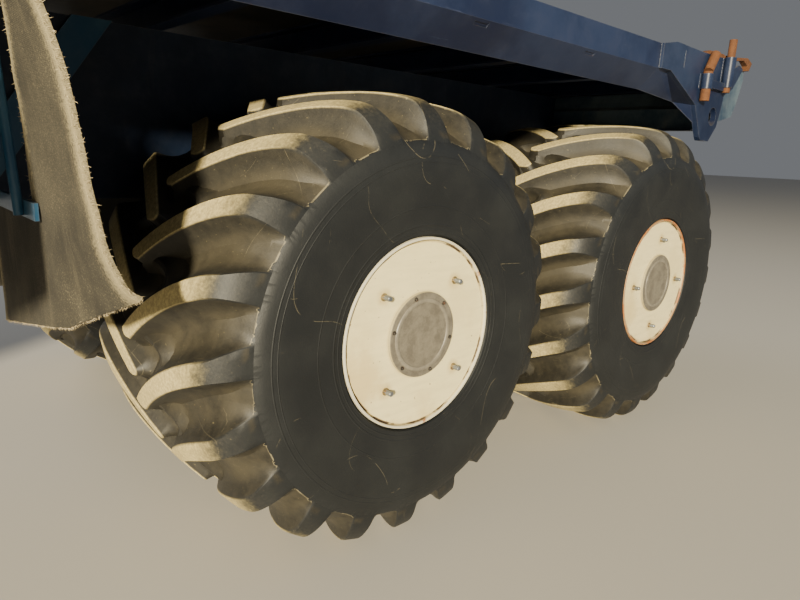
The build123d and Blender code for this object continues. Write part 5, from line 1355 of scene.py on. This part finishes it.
def frayed_place(y, share, way):
    """Place on the flap, jogged in and out along an edge that has a way to fray."""
    place = flap_place(y, share)
    if way:
        place += way * FRAY_DEPTH * noise.noise(Vector((0, place.y * FRAYS_PER_METRE, place.z * FRAYS_PER_METRE)))
    return place


def strip_row(row):
    share = SLIT_SHARE * row / STRIP_ROWS
    inner = between(FLAP_NECK, DECK_TOP - flap_place(FLAP_OUTER, share).z)
    return [frayed_place(inner + (FLAP_OUTER - inner) * across, share, SIDEWAYS if across in (0, 1) else None)
            for across in TO_EDGE]


def apron_row(row):
    share = SLIT_SHARE + (1 - SLIT_SHARE) * row / APRON_ROWS
    hem = UPRIGHT if row == APRON_ROWS else None
    return [frayed_place(y, share, SIDEWAYS if y in (APRON_YS[0], APRON_YS[-1]) else hem) for y in APRON_YS]


def grid_faces(rows, first=0):
    """Points of some rows in one list, and the faces of the net between them."""
    wide = len(rows[0])
    faces = []
    for row in range(len(rows) - 1):
        for column in range(wide - 1):
            a = first + row * wide + column
            faces.append((a, a + 1, a + wide + 1, a + wide))
    return [point for row in rows for point in row], faces


def from_edge(place):
    """Distance to the nearer of the flap's two upright edges."""
    inner = between(FLAP_NECK, DECK_TOP - place.z) if place.z > DECK_TOP - SLIT_DROP else FLAP_INNER
    return min(FLAP_OUTER - place.y, abs(place.y - inner))


def flap_mesh():
    """The left flap, with its distance from the edge as an attribute, and the lines of its edges."""
    strip = [strip_row(row) for row in range(STRIP_ROWS + 1)]
    apron = [apron_row(row) for row in range(APRON_ROWS + 1)]
    apron[0][len(TO_SLIT):] = strip[-1]
    points, faces = grid_faces(strip)
    apron_points, apron_faces = grid_faces(apron, len(points))
    flap = new_object("flap", new_mesh("flap", points + apron_points, faces + apron_faces))
    thick = flap.modifiers.new("thick", "SOLIDIFY")
    thick.thickness = FLAP_THICK
    thick.offset = 0
    rounded = flap.modifiers.new("rounded", "BEVEL")
    rounded.width = FLAP_ROUNDING
    rounded.segments = 2
    rounded.angle_limit = math.radians(FLAP_CORNER_DEGREES)
    mesh = plain_mesh(flap, "flap")
    drop_object(flap)
    store_numbers(mesh, "from_edge", [from_edge(vertex.co) for vertex in mesh.vertices])
    edges = {
        "outer": [row[-1] for row in strip + apron[1:]],
        "neck": [row[0] for row in strip],
        "hem": apron[-1],
    }
    return mesh, edges


flap_form, flap_edges = flap_mesh()
print("a flap has", len(flap_form.polygons), "faces")

# %% [markdown]
# The fuzz along the cut edges is hundreds of torn fibres. Each is one three-sided sliver, and the same tree
# that sets bolts also sets these: every point on the edge carries a slightly different way, drawn with a fixed
# seed, so the fringe looks random and still comes out the same each time.

# %% Belting finish and frayed edges
BELT_DARK, BELT_PALE, BELT_RUN = (0.019, 0.0165, 0.012), (0.048, 0.042, 0.029), (0.078, 0.067, 0.044)
BELT_PIT, BELT_THREAD = (0.016, 0.0135, 0.010), (0.25, 0.21, 0.13)
FUZZ_DARK, FUZZ_PALE = (0.16, 0.135, 0.08), (0.48, 0.40, 0.23)
FIBRE_DARK, FIBRE_PALE = (0.34, 0.27, 0.16), (0.66, 0.55, 0.36)
FIBRES_PER_METRE = 420
FIBRE_OUT = {"outer": (0, 1, 0), "neck": (0, -1, 0), "hem": (0, 0, -1)}
FIBRE_SIZES = (0.008, 0.013)
FIBRE_RINGS = [(0.055, 0.0, 0.0), (0.040, 0.5, 0.05), (0.0, 1.0, 0.22)]     # bent over near its tip
FIBRE_ROOT = 0.003
FIBRE_SPREAD = 0.45                 # of the flap's thickness, to either side
FIBRE_LEAN = 0.55


def belting():
    f = Finish("flap belting", roughness=0.9)
    blotch = f.noise(4.0, detail=6.0, rough=0.6)
    grain = f.noise(130.0, detail=5.0, rough=0.75)
    runs = f.noise(20.0, detail=5.0, rough=0.65, stretch=(1.0, 1.0, 0.10))
    weave = f.stripes(90.0, "Z", 1.5)
    face = f.mix(f.step(blotch, 0.3, 0.72), BELT_DARK, BELT_PALE)
    face = f.over(face, BELT_RUN, f.step(runs, 0.50, 0.72), 0.5)
    face = f.over(face, BELT_PIT, f.step(grain, 0.60, 0.75), 0.7)
    threads = f.times(f.step(f.noise(210.0, detail=3.0, rough=0.8), 0.52, 0.68), f.step(blotch, 0.25, 0.7))
    face = f.over(face, BELT_THREAD, threads, 0.55)
    near = f.plus(f.attribute("from_edge"), f.times(f.minus(grain, 0.5), 0.16))
    fuzzy = f.times(f.step(near, 0.060, 0.0), 0.85)
    f.colour(f.over(face, f.mix(grain, FUZZ_DARK, FUZZ_PALE), fuzzy))
    f.bump(f.plus(f.times(grain, f.plus(f.times(fuzzy, 1.5), 0.5)), f.times(weave, 0.35)), 0.0025, 0.5)
    return f.material


def fibre_finish():
    f = Finish("torn fibres", roughness=0.95)
    f.colour(f.mix(f.noise(60.0, detail=4.0), FIBRE_DARK, FIBRE_PALE))
    return f.material


def fringe_places(line, out, draws):
    """Points along an edge, each with a way that leans from straight out by a random amount."""
    places = []
    for a, b in zip(line, line[1:]):
        for i in range(max(int((b - a).length * FIBRES_PER_METRE), 1)):
            spot = a.lerp(b, draws.random())
            spread = draws.uniform(-FIBRE_SPREAD, FIBRE_SPREAD) * FLAP_THICK
            spot = spot + Vector((spread, 0, 0)) - Vector(out) * FIBRE_ROOT
            way = Vector(out) + Vector([draws.gauss(0, FIBRE_LEAN) for axis in range(3)])
            places.append((tuple(spot), tuple(way.normalized())))
    return places


torn = fibre_finish()
fibre = stack_object("fibre", 3, FIBRE_RINGS)
draws = random.Random(11)
flap_form.materials.clear()
flap_form.materials.append(belting())
flap_parts = [flap_form]
for name, line in flap_edges.items():
    for size in FIBRE_SIZES:
        flap_parts.append(bolt_mesh(name, fringe_places(line, FIBRE_OUT[name], draws), size, torn, fibre))
drop_object(fibre)
left_flap = join_meshes("left_flap", flap_parts)
both_flaps = join_meshes("belting_flaps", [left_flap, mirrored(left_flap)])
show_smooth(both_flaps, FLAP_SHARP_DEGREES)
flaps = place_piece("belting_flaps", both_flaps, "rear_frame")
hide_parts("mud_flaps")
print("both flaps have", len(both_flaps.polygons), "faces")

# %% [markdown]
# Two folded plates close the deck's rear corner. One carries the rail's lip on behind the lug plate, where it
# shuts the gap between the two. The other is a skirt under the tail beam, with a flange along its lower edge.
# Flat plates with so few corners are quickest as lists of their corners.

# %% Plates at the deck's rear corner
LIP_POINTS = [(-3.765, 1.483, 1.822), (-3.765, 1.574, 1.914), (-3.868, 1.567, 1.914), (-4.192, 1.567, 1.783),
              (-4.255, 1.567, 1.692), (-4.152, 1.483, 1.796)]
PLATE_THICK = 0.010
SKIRT_LOW = (-4.593, -1.44, 1.682)
SKIRT_HIGH = (-4.584, 1.44, 1.800)
FLANGE_LOW = (-4.593, -1.44, SKIRT_LOW[2] - PLATE_THICK)
FLANGE_HIGH = (-4.530, 1.44, SKIRT_LOW[2])
BOX_FACES = [(0, 1, 3, 2), (4, 6, 7, 5), (0, 4, 5, 1), (2, 3, 7, 6), (0, 2, 6, 4), (1, 5, 7, 3)]


def lip_plate(sign):
    """A bent sheet fanned out from its last point, closed by a second skin above it."""
    count = len(LIP_POINTS)
    points = [(x, sign * y, z + lift) for lift in (0, PLATE_THICK) for x, y, z in LIP_POINTS]
    last = count - 1
    faces = []
    for i in range(last - 1):
        faces.append((last, i, i + 1))
        faces.append((last + count, i + 1 + count, i + count))
    faces += [(i, (i + 1) % count, (i + 1) % count + count, i + count) for i in range(count)]
    return new_mesh("lip_plate", points, faces, deck_paint)


def plain_box(name, low, high, finish):
    xs, ys, zs = zip(low, high)
    return new_mesh(name, [(x, y, z) for x in xs for y in ys for z in zs], BOX_FACES, finish)


plates = [lip_plate(sign) for side, sign in SIDES]
plates += [plain_box("skirt", SKIRT_LOW, SKIRT_HIGH, tail_paint),
           plain_box("flange", FLANGE_LOW, FLANGE_HIGH, chassis_paint)]
place_piece("corner_plates", join_meshes("corner_plates", plates), "rear_frame")
print(len(plates), "corner plates")

# %% [markdown]
# The cab's small things follow. Most of them are round bars, rubber beads or little rounded blocks, so three
# helpers make them: a tube along a line, a tube round a rounded rectangle, and a block with bevelled edges.
# Places are read off the boxes of the CAD nodes that carry the piece, so nothing floats beside its panel.

# %% Helpers for small fittings
TUBE_ROUNDNESS = 2
TUBE_SHARP_DEGREES = 45
BLOCK_SHARP_DEGREES = 35


def tube_mesh(name, points, radius, finish, closed=False):
    """A round bar along a line of points."""
    curve = bpy.data.curves.new(name, "CURVE")
    curve.dimensions = "3D"
    curve.bevel_depth = radius
    curve.bevel_resolution = TUBE_ROUNDNESS
    curve.use_fill_caps = True
    line = curve.splines.new("POLY")
    line.points.add(len(points) - 1)
    for point, place in zip(line.points, points):
        point.co = (*place, 1)
    line.use_cyclic_u = closed
    holder = new_object(name, curve)
    mesh = plain_mesh(holder, name)
    bpy.data.objects.remove(holder)
    bpy.data.curves.remove(curve)
    clean(mesh)
    mesh.materials.clear()
    mesh.materials.append(finish)
    show_smooth(mesh, TUBE_SHARP_DEGREES)
    return mesh


def rounded_loop(corners, radius, steps=5):
    """The corners of a closed outline, each rounded off by an arc."""
    points = []
    for i, corner in enumerate(corners):
        corner = Vector(corner)
        back = (Vector(corners[i - 1]) - corner).normalized()
        onward = (Vector(corners[(i + 1) % len(corners)]) - corner).normalized()
        middle = corner + (back + onward) * radius
        for k in range(steps + 1):
            turn = math.pi / 2 * k / steps
            points.append(middle - onward * radius * math.cos(turn) - back * radius * math.sin(turn))
    return points


def block_mesh(name, low, high, bevel, finish):
    """A block with rounded edges between two corners."""
    shape = bmesh.new()
    bmesh.ops.create_cube(shape, size=1)
    for vertex in shape.verts:
        vertex.co = Vector([c * (h - l) for c, l, h in zip(vertex.co, low, high)])
    bmesh.ops.bevel(shape, geom=list(shape.edges), offset=bevel, segments=3, profile=0.5, affect="EDGES")
    bmesh.ops.translate(shape, vec=(Vector(low) + Vector(high)) / 2, verts=shape.verts)
    mesh = bpy.data.meshes.new(name)
    shape.to_mesh(mesh)
    shape.free()
    mesh.materials.append(finish)
    show_smooth(mesh, BLOCK_SHARP_DEGREES)
    return mesh


black_rubber = grained_plastic("black rubber", (0.016, 0.016, 0.017), 260.0, 0.7)
black_metal = painted_steel("black fittings", (0.010, 0.010, 0.011), (0.03, 0.03, 0.03), chips=0.3, dust=0.4, rust=0.1)
print("fitting helpers ready")

# %% [markdown]
# The seats are foam under woven cloth, with piping along the seam. A cushion is two skins that meet in that
# seam: each rises steeply at the rim and crowns softly in the middle, the sides pull in between the corners,
# and sewn channels run across as narrow valleys. Written as a height over a grid, all of that is four terms.

# %% Seat cushions
GRID = 44
PULL_IN = 0.035
CHANNEL_DEPTH = 0.009
CHANNEL_WIDTH = 0.011
RIM_FLATNESS = 6                    # the higher, the flatter the pad stays until close to its rim
RIM_ROUNDNESS = 0.32
PIPING = 0.006
PAD_SHARP_DEGREES = 60
CLOTH_DARK, CLOTH_PALE, CLOTH_THREAD = (0.030, 0.032, 0.038), (0.055, 0.055, 0.060), (0.10, 0.10, 0.11)


def pad_point(i, j, side, length, width, thick, crown, channels):
    """A point of a cushion's upper or lower skin, from its row and column in the grid."""
    u, v = (math.sin(math.pi / 2 * (2 * k / GRID - 1)) for k in (i, j))
    x = u * length / 2 * (1 - PULL_IN * (1 - v * v))
    y = v * width / 2 * (1 - PULL_IN * (1 - u * u))
    rise = max((1 - u ** RIM_FLATNESS) * (1 - v ** RIM_FLATNESS), 0) ** RIM_ROUNDNESS
    z = side * thick / 2 * rise
    if side > 0:
        z += crown * (1 - u * u) * (1 - v * v)
        for at in channels:
            z -= CHANNEL_DEPTH * rise * math.exp(-(((y - at) / CHANNEL_WIDTH) ** 2))
    return x, y, z


def cushion_mesh(*size):
    """A pad lying in XY about the origin, its upper side channelled, and the line of its seam."""
    top, bottom = ([[pad_point(i, j, side, *size) for j in range(GRID + 1)] for i in range(GRID + 1)]
                   for side in (1, -1))
    points, faces = grid_faces(top)
    lower_points, lower_faces = grid_faces(bottom, len(points))
    mesh = new_mesh("pad", points + lower_points, faces + lower_faces)
    show_smooth(mesh, PAD_SHARP_DEGREES)
    rim = [top[i][0] for i in range(0, GRID, 2)] + [top[GRID][j] for j in range(0, GRID, 2)]
    rim += [top[i][GRID] for i in range(GRID, 0, -2)] + [top[0][j] for j in range(GRID, 0, -2)]
    return mesh, rim


def seat_cloth():
    f = Finish("seat cloth", roughness=0.9)
    weave = f.times(f.stripes(130.0, "Y", 0.6), f.stripes(130.0, "X", 0.6))
    cloth = f.mix(f.step(f.noise(6.0, detail=5.0), 0.35, 0.75), CLOTH_DARK, CLOTH_PALE)
    f.colour(f.over(cloth, CLOTH_THREAD, weave, 0.5))
    f.shader.inputs["Sheen Weight"].default_value = 0.25
    f.bump(weave, 0.0012, 0.5)
    return f.material


cloth = seat_cloth()
vinyl = grained_plastic("seat piping", (0.02, 0.02, 0.022), 300.0, 0.5)
SEAT_MIDDLE_Y = 0.59
CAB_FLOOR_Z = 1.845
PAN_Z = 2.150
BACK_LEAN = math.atan2(0.110, 0.610)
CUSHION_PLACE = Matrix.Translation((3.96, SEAT_MIDDLE_Y, 2.243))
BACK_PLACE = (Matrix.Translation((3.712, SEAT_MIDDLE_Y, 2.615)) @ Matrix.Rotation(-BACK_LEAN, 4, "Y")
              @ Matrix.Rotation(math.radians(90), 4, "Y"))
SEAT_PADS = {       # length, width, thickness, crown and where the channels run
    "cushion": (CUSHION_PLACE, (0.515, 0.535, 0.130, 0.012, (-0.14, 0.0, 0.14))),
    "back": (BACK_PLACE, (0.600, 0.515, 0.115, 0.010, (-0.13, 0.0, 0.13))),
}
for side, sign in SIDES:
    for name, (place, size) in SEAT_PADS.items():
        pad, rim = cushion_mesh(*size)
        pad.materials.append(cloth)
        pad.transform(place)
        piping = tube_mesh("piping", [place @ Vector(point) for point in rim], PIPING, vinyl, closed=True)
        if sign < 0:
            pad = mirrored(pad)
            piping = mirrored(piping)
        padded_piece = place_piece(f"seat_{name}_{side}", pad, "front_frame")
        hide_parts("cab_seats")
        place_piece(f"seat_{name}_piping_{side}", piping, "front_frame")
frames = [
    block_mesh("pedestal", (3.82, 0.44, CAB_FLOOR_Z), (4.10, 0.74, PAN_Z), 0.02, black_metal),
    block_mesh("pan", (3.72, 0.345, PAN_Z), (4.20, 0.835, 2.180), 0.012, black_metal),
    block_mesh("runner", (3.74, 0.42, CAB_FLOOR_Z), (4.18, 0.46, 1.870), 0.006, black_metal),
    block_mesh("other_runner", (3.74, 0.72, CAB_FLOOR_Z), (4.18, 0.76, 1.870), 0.006, black_metal),
]
frames += [mirrored(mesh) for mesh in frames]
seat_frames = place_piece("seat_frames", join_meshes("seat_frames", frames), "front_frame")
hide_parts("cab_seats")
print("two seats with", len(rim), "points of piping each")

# %% [markdown]
# Every pane sits in a rubber bead, and the beads are what makes a cab read as a cab. A bead is a tube round
# the pane's rounded outline. The doors' beads and pull handles ride on the doors, so that they swing with them.

# %% Window beads and handles on the doors
DOOR_LOW, DOOR_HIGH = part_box("door_glass_left")
CAB_FACE_Y = 1.200
BEAD = 0.011
DOOR_PANE_CORNER = 0.06
PULL_RADIUS = 0.009
HANDLE_Z = 2.455
HANDLE_START = DOOR_LOW.x + 0.02
HANDLE_LINE = [(0, -0.002), (0.008, 0.030), (0.030, 0.038), (0.130, 0.038), (0.152, 0.030), (0.160, -0.002)]


def door_bead():
    corners = [(x, CAB_FACE_Y, z) for x, z in ((DOOR_LOW.x, DOOR_LOW.z), (DOOR_HIGH.x, DOOR_LOW.z),
                                               (DOOR_HIGH.x, DOOR_HIGH.z), (DOOR_LOW.x, DOOR_HIGH.z))]
    return tube_mesh("bead", rounded_loop(corners, DOOR_PANE_CORNER), BEAD, black_rubber, closed=True)


def handle_meshes():
    """A pull handle on its back plate."""
    line = [(HANDLE_START + along, CAB_FACE_Y + out, HANDLE_Z) for along, out in HANDLE_LINE]
    plate_low = (HANDLE_START - 0.012, CAB_FACE_Y - 0.004, HANDLE_Z - 0.018)
    plate_high = (HANDLE_START + 0.172, CAB_FACE_Y + 0.004, HANDLE_Z + 0.018)
    return [tube_mesh("pull", line, PULL_RADIUS, black_metal),
            block_mesh("plate", plate_low, plate_high, 0.002, black_metal)]


for side, sign in SIDES:
    meshes = [door_bead()] + handle_meshes()
    if sign < 0:
        meshes = [mirrored(mesh) for mesh in meshes]
    place_piece(f"door_fittings_{side}", join_meshes("door_fittings", meshes), f"cab_door_{side}")
print(len(meshes), "fittings on each door")

# %% [markdown]
# The windscreen's beads follow its rake, and two wipers park low across it. A grab rail stands behind each
# door, and a gutter runs above and below the doors. All of them are tubes along a few points, which bend more
# like real bars than blocks would, and they are joined into one piece, as nothing here moves by itself.

# %% Beads, wipers, grab rails and gutters of the cab
CAB_LOW, CAB_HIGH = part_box("cab_shell")
BELT_Z = 2.500
RAKE = 0.170 / 0.830
SCREEN_INNER_Y, SCREEN_OUTER_Y = 0.035, 1.090
SCREEN_LOW_Z, SCREEN_HIGH_Z = 2.570, 3.240
SCREEN_CORNER, REAR_PANE_CORNER = 0.025, 0.02
REAR_PANE_HALF, REAR_PANE_LOW_Z, REAR_PANE_HIGH_Z = 0.700, 2.660, 3.130
WIPERS = ((0.62, 0.20), (-0.50, -0.92))     # offsets of the pivot and of the arm's tip
WIPER_PIVOT_Z, WIPER_TIP_Z = 2.545, 2.80
ARM_RADIUS, BACK_RADIUS, BLADE_RADIUS = 0.007, 0.006, 0.005
BACK_HALF, BLADE_HALF = 0.26, 0.27
GRAB_RADIUS, GUTTER_RADIUS = 0.013, 0.008
GRAB_X = 3.395
GRAB_LINE = [(1.196, 2.20), (1.245, 2.23), (1.250, 2.30), (1.250, 2.95), (1.245, 3.02), (1.196, 3.05)]
GUTTERS = ((3.36, 4.80, 1.835), (3.40, 4.62, 3.275))        # from, to, height


def screen_place(y, z, out=0.0):
    """A place on the raked front face, or a little in front of it."""
    return Vector((CAB_HIGH.x - (z - BELT_Z) * RAKE + out, y, z + out * RAKE))


def wiper_meshes(pivot_y, tip_y):
    pivot = screen_place(pivot_y, WIPER_PIVOT_Z, 0.030)
    tip = screen_place(tip_y, WIPER_TIP_Z, 0.026)
    way = (tip - pivot).normalized()
    arm = [screen_place(pivot_y, WIPER_PIVOT_Z, -0.01), pivot, tip]
    back = [tip - way * BACK_HALF, tip + way * BACK_HALF]
    rubber_line = [tip + way * at + Vector((-0.011, 0, 0)) for at in (-BLADE_HALF, BLADE_HALF)]
    return [tube_mesh("wiper_arm", arm, ARM_RADIUS, black_metal),
            tube_mesh("blade_back", back, BACK_RADIUS, black_metal),
            tube_mesh("blade", rubber_line, BLADE_RADIUS, black_rubber)]


cab_meshes = []
for side, sign in SIDES:
    ys = sorted((sign * SCREEN_INNER_Y, sign * SCREEN_OUTER_Y))
    corners = [screen_place(ys[0], SCREEN_LOW_Z), screen_place(ys[1], SCREEN_LOW_Z),
               screen_place(ys[1], SCREEN_HIGH_Z), screen_place(ys[0], SCREEN_HIGH_Z)]
    loop = rounded_loop(corners, SCREEN_CORNER)
    cab_meshes.append(tube_mesh("screen_bead", loop, BEAD, black_rubber, closed=True))
corners = [(CAB_LOW.x, y, z) for y, z in ((-REAR_PANE_HALF, REAR_PANE_LOW_Z), (REAR_PANE_HALF, REAR_PANE_LOW_Z),
                                          (REAR_PANE_HALF, REAR_PANE_HIGH_Z), (-REAR_PANE_HALF, REAR_PANE_HIGH_Z))]
loop = rounded_loop(corners, REAR_PANE_CORNER)
cab_meshes.append(tube_mesh("rear_bead", loop, BEAD, black_rubber, closed=True))
for pivot_y, tip_y in WIPERS:
    cab_meshes += wiper_meshes(pivot_y, tip_y)
for side, sign in SIDES:
    grab = [(GRAB_X, sign * y, z) for y, z in GRAB_LINE]
    cab_meshes.append(tube_mesh("grab", grab, GRAB_RADIUS, black_metal))
for start, stop, z in GUTTERS:
    for side, sign in SIDES:
        gutter = [(x, sign * (CAB_FACE_Y + 0.001), z) for x in (start, stop)]
        cab_meshes.append(tube_mesh("gutter", gutter, GUTTER_RADIUS, cab_paint))
place_piece("cab_fittings", join_meshes("cab_fittings", cab_meshes), "front_frame")
print("cab fittings:", len(cab_meshes), "meshes")

# %% [markdown]
# The tool box has a latch and two hinges on each of its doors. They are blocks and pins on the box's outer
# face, set off from the corners of the CAD node's own box.

# %% Latches and hinges of the tool box
BOX_LOW, BOX_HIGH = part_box("tool_box")
DOOR_STARTS = (BOX_LOW.x + 0.06, (BOX_LOW.x + BOX_HIGH.x) / 2 + 0.06)
HINGE_OFFSETS = (0.08, 0.40)
LATCH_OFFSET = 0.24


def face_block(name, x, left, right, low_z, high_z, sunk, proud, bevel, finish):
    """A block on the box's outer face, with its sides off x and its depth off the face."""
    low = (x - left, BOX_HIGH.y - sunk, low_z)
    high = (x + right, BOX_HIGH.y + proud, high_z)
    return block_mesh(name, low, high, bevel, finish)


box_meshes = []
for door_start in DOOR_STARTS:
    for offset in HINGE_OFFSETS:
        x = door_start + offset
        pin = [(x + end, BOX_HIGH.y + 0.004, BOX_LOW.z + 0.040) for end in (-0.04, 0.04)]
        box_meshes += [
            face_block("hinge_leaf", x, 0.035, 0.035, BOX_LOW.z + 0.045, BOX_LOW.z + 0.095, 0.003, 0.005, 0.002,
                       black_metal),
            tube_mesh("hinge_pin", pin, 0.008, black_metal)]
    x = door_start + LATCH_OFFSET
    box_meshes += [
        face_block("latch_plate", x, 0.055, 0.055, BOX_HIGH.z - 0.150, BOX_HIGH.z - 0.065, 0.003, 0.006, 0.003,
                   stud_steel),
        face_block("latch_lever", x, 0.042, 0.030, BOX_HIGH.z - 0.125, BOX_HIGH.z - 0.095, -0.004, 0.016, 0.004,
                   black_metal)]
place_piece("box_fittings", join_meshes("box_fittings", box_meshes), "rear_frame")
print(len(box_meshes), "fittings on the tool box")

# %% [markdown]
# A round lamp is three turned things: a bright rim, a shallow silver bowl and a domed lens with upright flutes.
# All three are lathed about the Y axis like the wheels, and then turned to look ahead.

# %% Headlamps
LAMP_LOW, LAMP_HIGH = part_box("headlamps")
LAMP_Z = (LAMP_LOW.z + LAMP_HIGH.z) / 2
LAMP_OFFSETS = (0.720, 0.960)
LAMP_STEPS = 40
LAMP_SHARP_DEGREES = 40
LAMP_GLASS = (0.62, 0.64, 0.64)
RIM_OUTLINE = [(0.0, 0.104), (0.018, 0.104), (0.024, 0.100), (0.026, 0.095), (0.024, 0.090), (0.016, 0.088),
               (0.0, 0.088)]
BOWL_OUTLINE = [(0.0045, 0.0), (0.006, 0.030), (0.013, 0.062), (0.0215, 0.0875), (0.0185, 0.0885), (0.0095, 0.062),
                (0.0020, 0.030), (0.0010, 0.0)]
LENS_OUTLINE = [(0.0345, 0.0), (0.0330, 0.040), (0.0290, 0.070), (0.0240, 0.0895), (0.0215, 0.0895), (0.0265, 0.068),
                (0.0305, 0.038), (0.0320, 0.0)]
AHEAD = Matrix.Rotation(math.radians(-90), 4, "Z")


def lens_glass():
    f = Finish("lamp lens", roughness=0.06)
    film = f.step(f.noise(30.0, detail=5.0), 0.50, 0.85)
    f.colour(f.mix(film, LAMP_GLASS, DUST))
    f.feed(f.shader.inputs["Alpha"], f.plus(f.times(film, 0.35), 0.32))
    f.bump(f.stripes(28.0, "Y"), 0.003, 0.7)
    return f.material


chrome = bare_steel("lamp chrome", (0.78, 0.79, 0.80), 0.0)
lamp_meshes = []
for outline, finish in ((RIM_OUTLINE, chrome), (BOWL_OUTLINE, chrome), (LENS_OUTLINE, lens_glass())):
    for side, sign in SIDES:
        for y in LAMP_OFFSETS:
            mesh = lathe("lamp", outline, LAMP_STEPS, finish)
            mesh.transform(Matrix.Translation((LAMP_LOW.x, sign * y, LAMP_Z)) @ AHEAD)
            show_smooth(mesh, LAMP_SHARP_DEGREES)
            lamp_meshes.append(mesh)
lamps = place_piece("round_headlamps", join_meshes("lamps", lamp_meshes), "front_frame")
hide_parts("headlamps")
print(len(lamp_meshes), "turned lamp parts")

# %% [markdown]
# Bolts hold the heavy plates, rivets hold the deck plate to its cross members, and beads of weld join the rest.
# All three are like things set out on lines, so they go through the tree that set the wheel bolts. A weld bead
# is a row of overlapping ripples, each a low dome a few millimetres long.

# %% Bolts, rivets and welds
OUTWARD, FORWARD, BACKWARD, UPWARD = (0, 1, 0), (1, 0, 0), (-1, 0, 0), (0, 0, 1)
RIVET_SIZE, FRAME_BOLT_SIZE, FRONT_BOLT_SIZE, RIPPLE_SIZE = 0.011, 0.026, 0.024, 0.0045
RIPPLE_SPACING = 0.0045
DECK_REAR_X, DECK_FRONT_X = -4.590, 0.960
RIVET_MARGIN = 0.035
RIVET_ROWS = 9
FIRST_RIVETS_X = DECK_REAR_X + RIVET_MARGIN
RIVET_PITCH = (DECK_FRONT_X - DECK_REAR_X - 2 * RIVET_MARGIN) / (RIVET_ROWS - 1)
RIVET_REACH = 1.40
RIVETS_IN_ROW = 13
REAR_RAIL_Y = 0.4500
HEADBOARD_X = 0.8795
NOSE_PANEL_X = 4.8395
HOOD_Y = 0.4805
FRONT_RAIL_Y = 0.4310
REAR_BOLT_ROWS = [      # from, to, number, way
    ((-3.56, REAR_RAIL_Y, 1.300), (-2.80, REAR_RAIL_Y, 1.300), 6, OUTWARD),
    ((-3.50, REAR_RAIL_Y, 1.385), (-2.86, REAR_RAIL_Y, 1.385), 5, OUTWARD),
    ((0.26, REAR_RAIL_Y, 1.320), (0.90, REAR_RAIL_Y, 1.320), 5, OUTWARD),
    ((0.26, REAR_RAIL_Y, 1.450), (0.90, REAR_RAIL_Y, 1.450), 5, OUTWARD),
]
HEADBOARD_BOLT_ROWS = [((HEADBOARD_X, 1.30, 2.10), (HEADBOARD_X, 1.46, 2.10), 2, BACKWARD)]
FRONT_BOLT_ROWS = [
    ((NOSE_PANEL_X, 1.06, 1.25), (NOSE_PANEL_X, 1.06, 1.72), 5, FORWARD),
    ((1.80, HOOD_Y, 1.545), (3.20, HOOD_Y, 1.545), 9, OUTWARD),
    ((1.78, FRONT_RAIL_Y, 1.200), (3.10, FRONT_RAIL_Y, 1.200), 8, OUTWARD),
    ((3.52, FRONT_RAIL_Y, 1.420), (4.60, FRONT_RAIL_Y, 1.420), 6, OUTWARD),
]
LUG_PLATE_Y = 1.5895
RAIL_FACE_Y = 1.5760
WELD_LINES = [          # x, y, lower end, upper end
    (-4.5185, LUG_PLATE_Y, 1.900, 2.045), (-4.4615, LUG_PLATE_Y, 1.900, 2.045),
    (-4.2585, LUG_PLATE_Y, 1.868, 1.936), (-4.2015, LUG_PLATE_Y, 1.868, 1.936),
    (-3.770, RAIL_FACE_Y, 1.918, 2.022), (-4.000, LUG_PLATE_Y, 1.945, 2.020),
]


def dome_rings(height):
    """A low dome one unit in radius, rising in two steps."""
    return [(math.cos(turn), height * math.sin(turn), 0) for turn in (0, math.pi / 4, math.pi / 2)]


def row_of(start, end, count, way):
    a, b = Vector(start), Vector(end)
    return [(tuple(a.lerp(b, i / (count - 1))), way) for i in range(count)]


def rows_of(rows):
    return [place for row in rows for place in row_of(*row)]


def both_sides(places):
    return places + [((x, -y, z), (a, -b, c)) for (x, y, z), (a, b, c) in places]


rivet = stack_object("rivet", 8, dome_rings(0.35))
ripple = stack_object("ripple", 6, dome_rings(0.75))
rivet_z = DECK_TOP - 0.0005
rivets = rows_of([((x, -RIVET_REACH, rivet_z), (x, RIVET_REACH, rivet_z), RIVETS_IN_ROW, UPWARD)
                  for x in (FIRST_RIVETS_X + i * RIVET_PITCH for i in range(RIVET_ROWS))])
rear_bolts = both_sides(rows_of(REAR_BOLT_ROWS)) + both_sides(rows_of(HEADBOARD_BOLT_ROWS))
front_bolts = both_sides(rows_of(FRONT_BOLT_ROWS))
corner_welds = both_sides(rows_of([((x, y, low), (x, y, high), int((high - low) / RIPPLE_SPACING) + 1, OUTWARD)
                                   for x, y, low, high in WELD_LINES]))
rivet_heads = bolt_mesh("rivets", rivets, RIVET_SIZE, deck_steel, rivet)
rear_heads = bolt_mesh("bolts", rear_bolts, FRAME_BOLT_SIZE, chassis_paint)
front_heads = bolt_mesh("bolts", front_bolts, FRONT_BOLT_SIZE, chassis_paint)
weld_beads = bolt_mesh("welds", corner_welds, RIPPLE_SIZE, weld_paint, ripple)
place_piece("deck_rivets", rivet_heads, "rear_frame")
place_piece("frame_bolts", rear_heads, "rear_frame")
place_piece("front_bolts", front_heads, "front_frame")
place_piece("corner_welds", weld_beads, "rear_frame")
for scrap in (rivet, ripple, head_shape):
    drop_object(scrap)
print(len(rivets), "rivets,", len(rear_bolts) + len(front_bolts), "bolts,", len(corner_welds), "weld ripples")
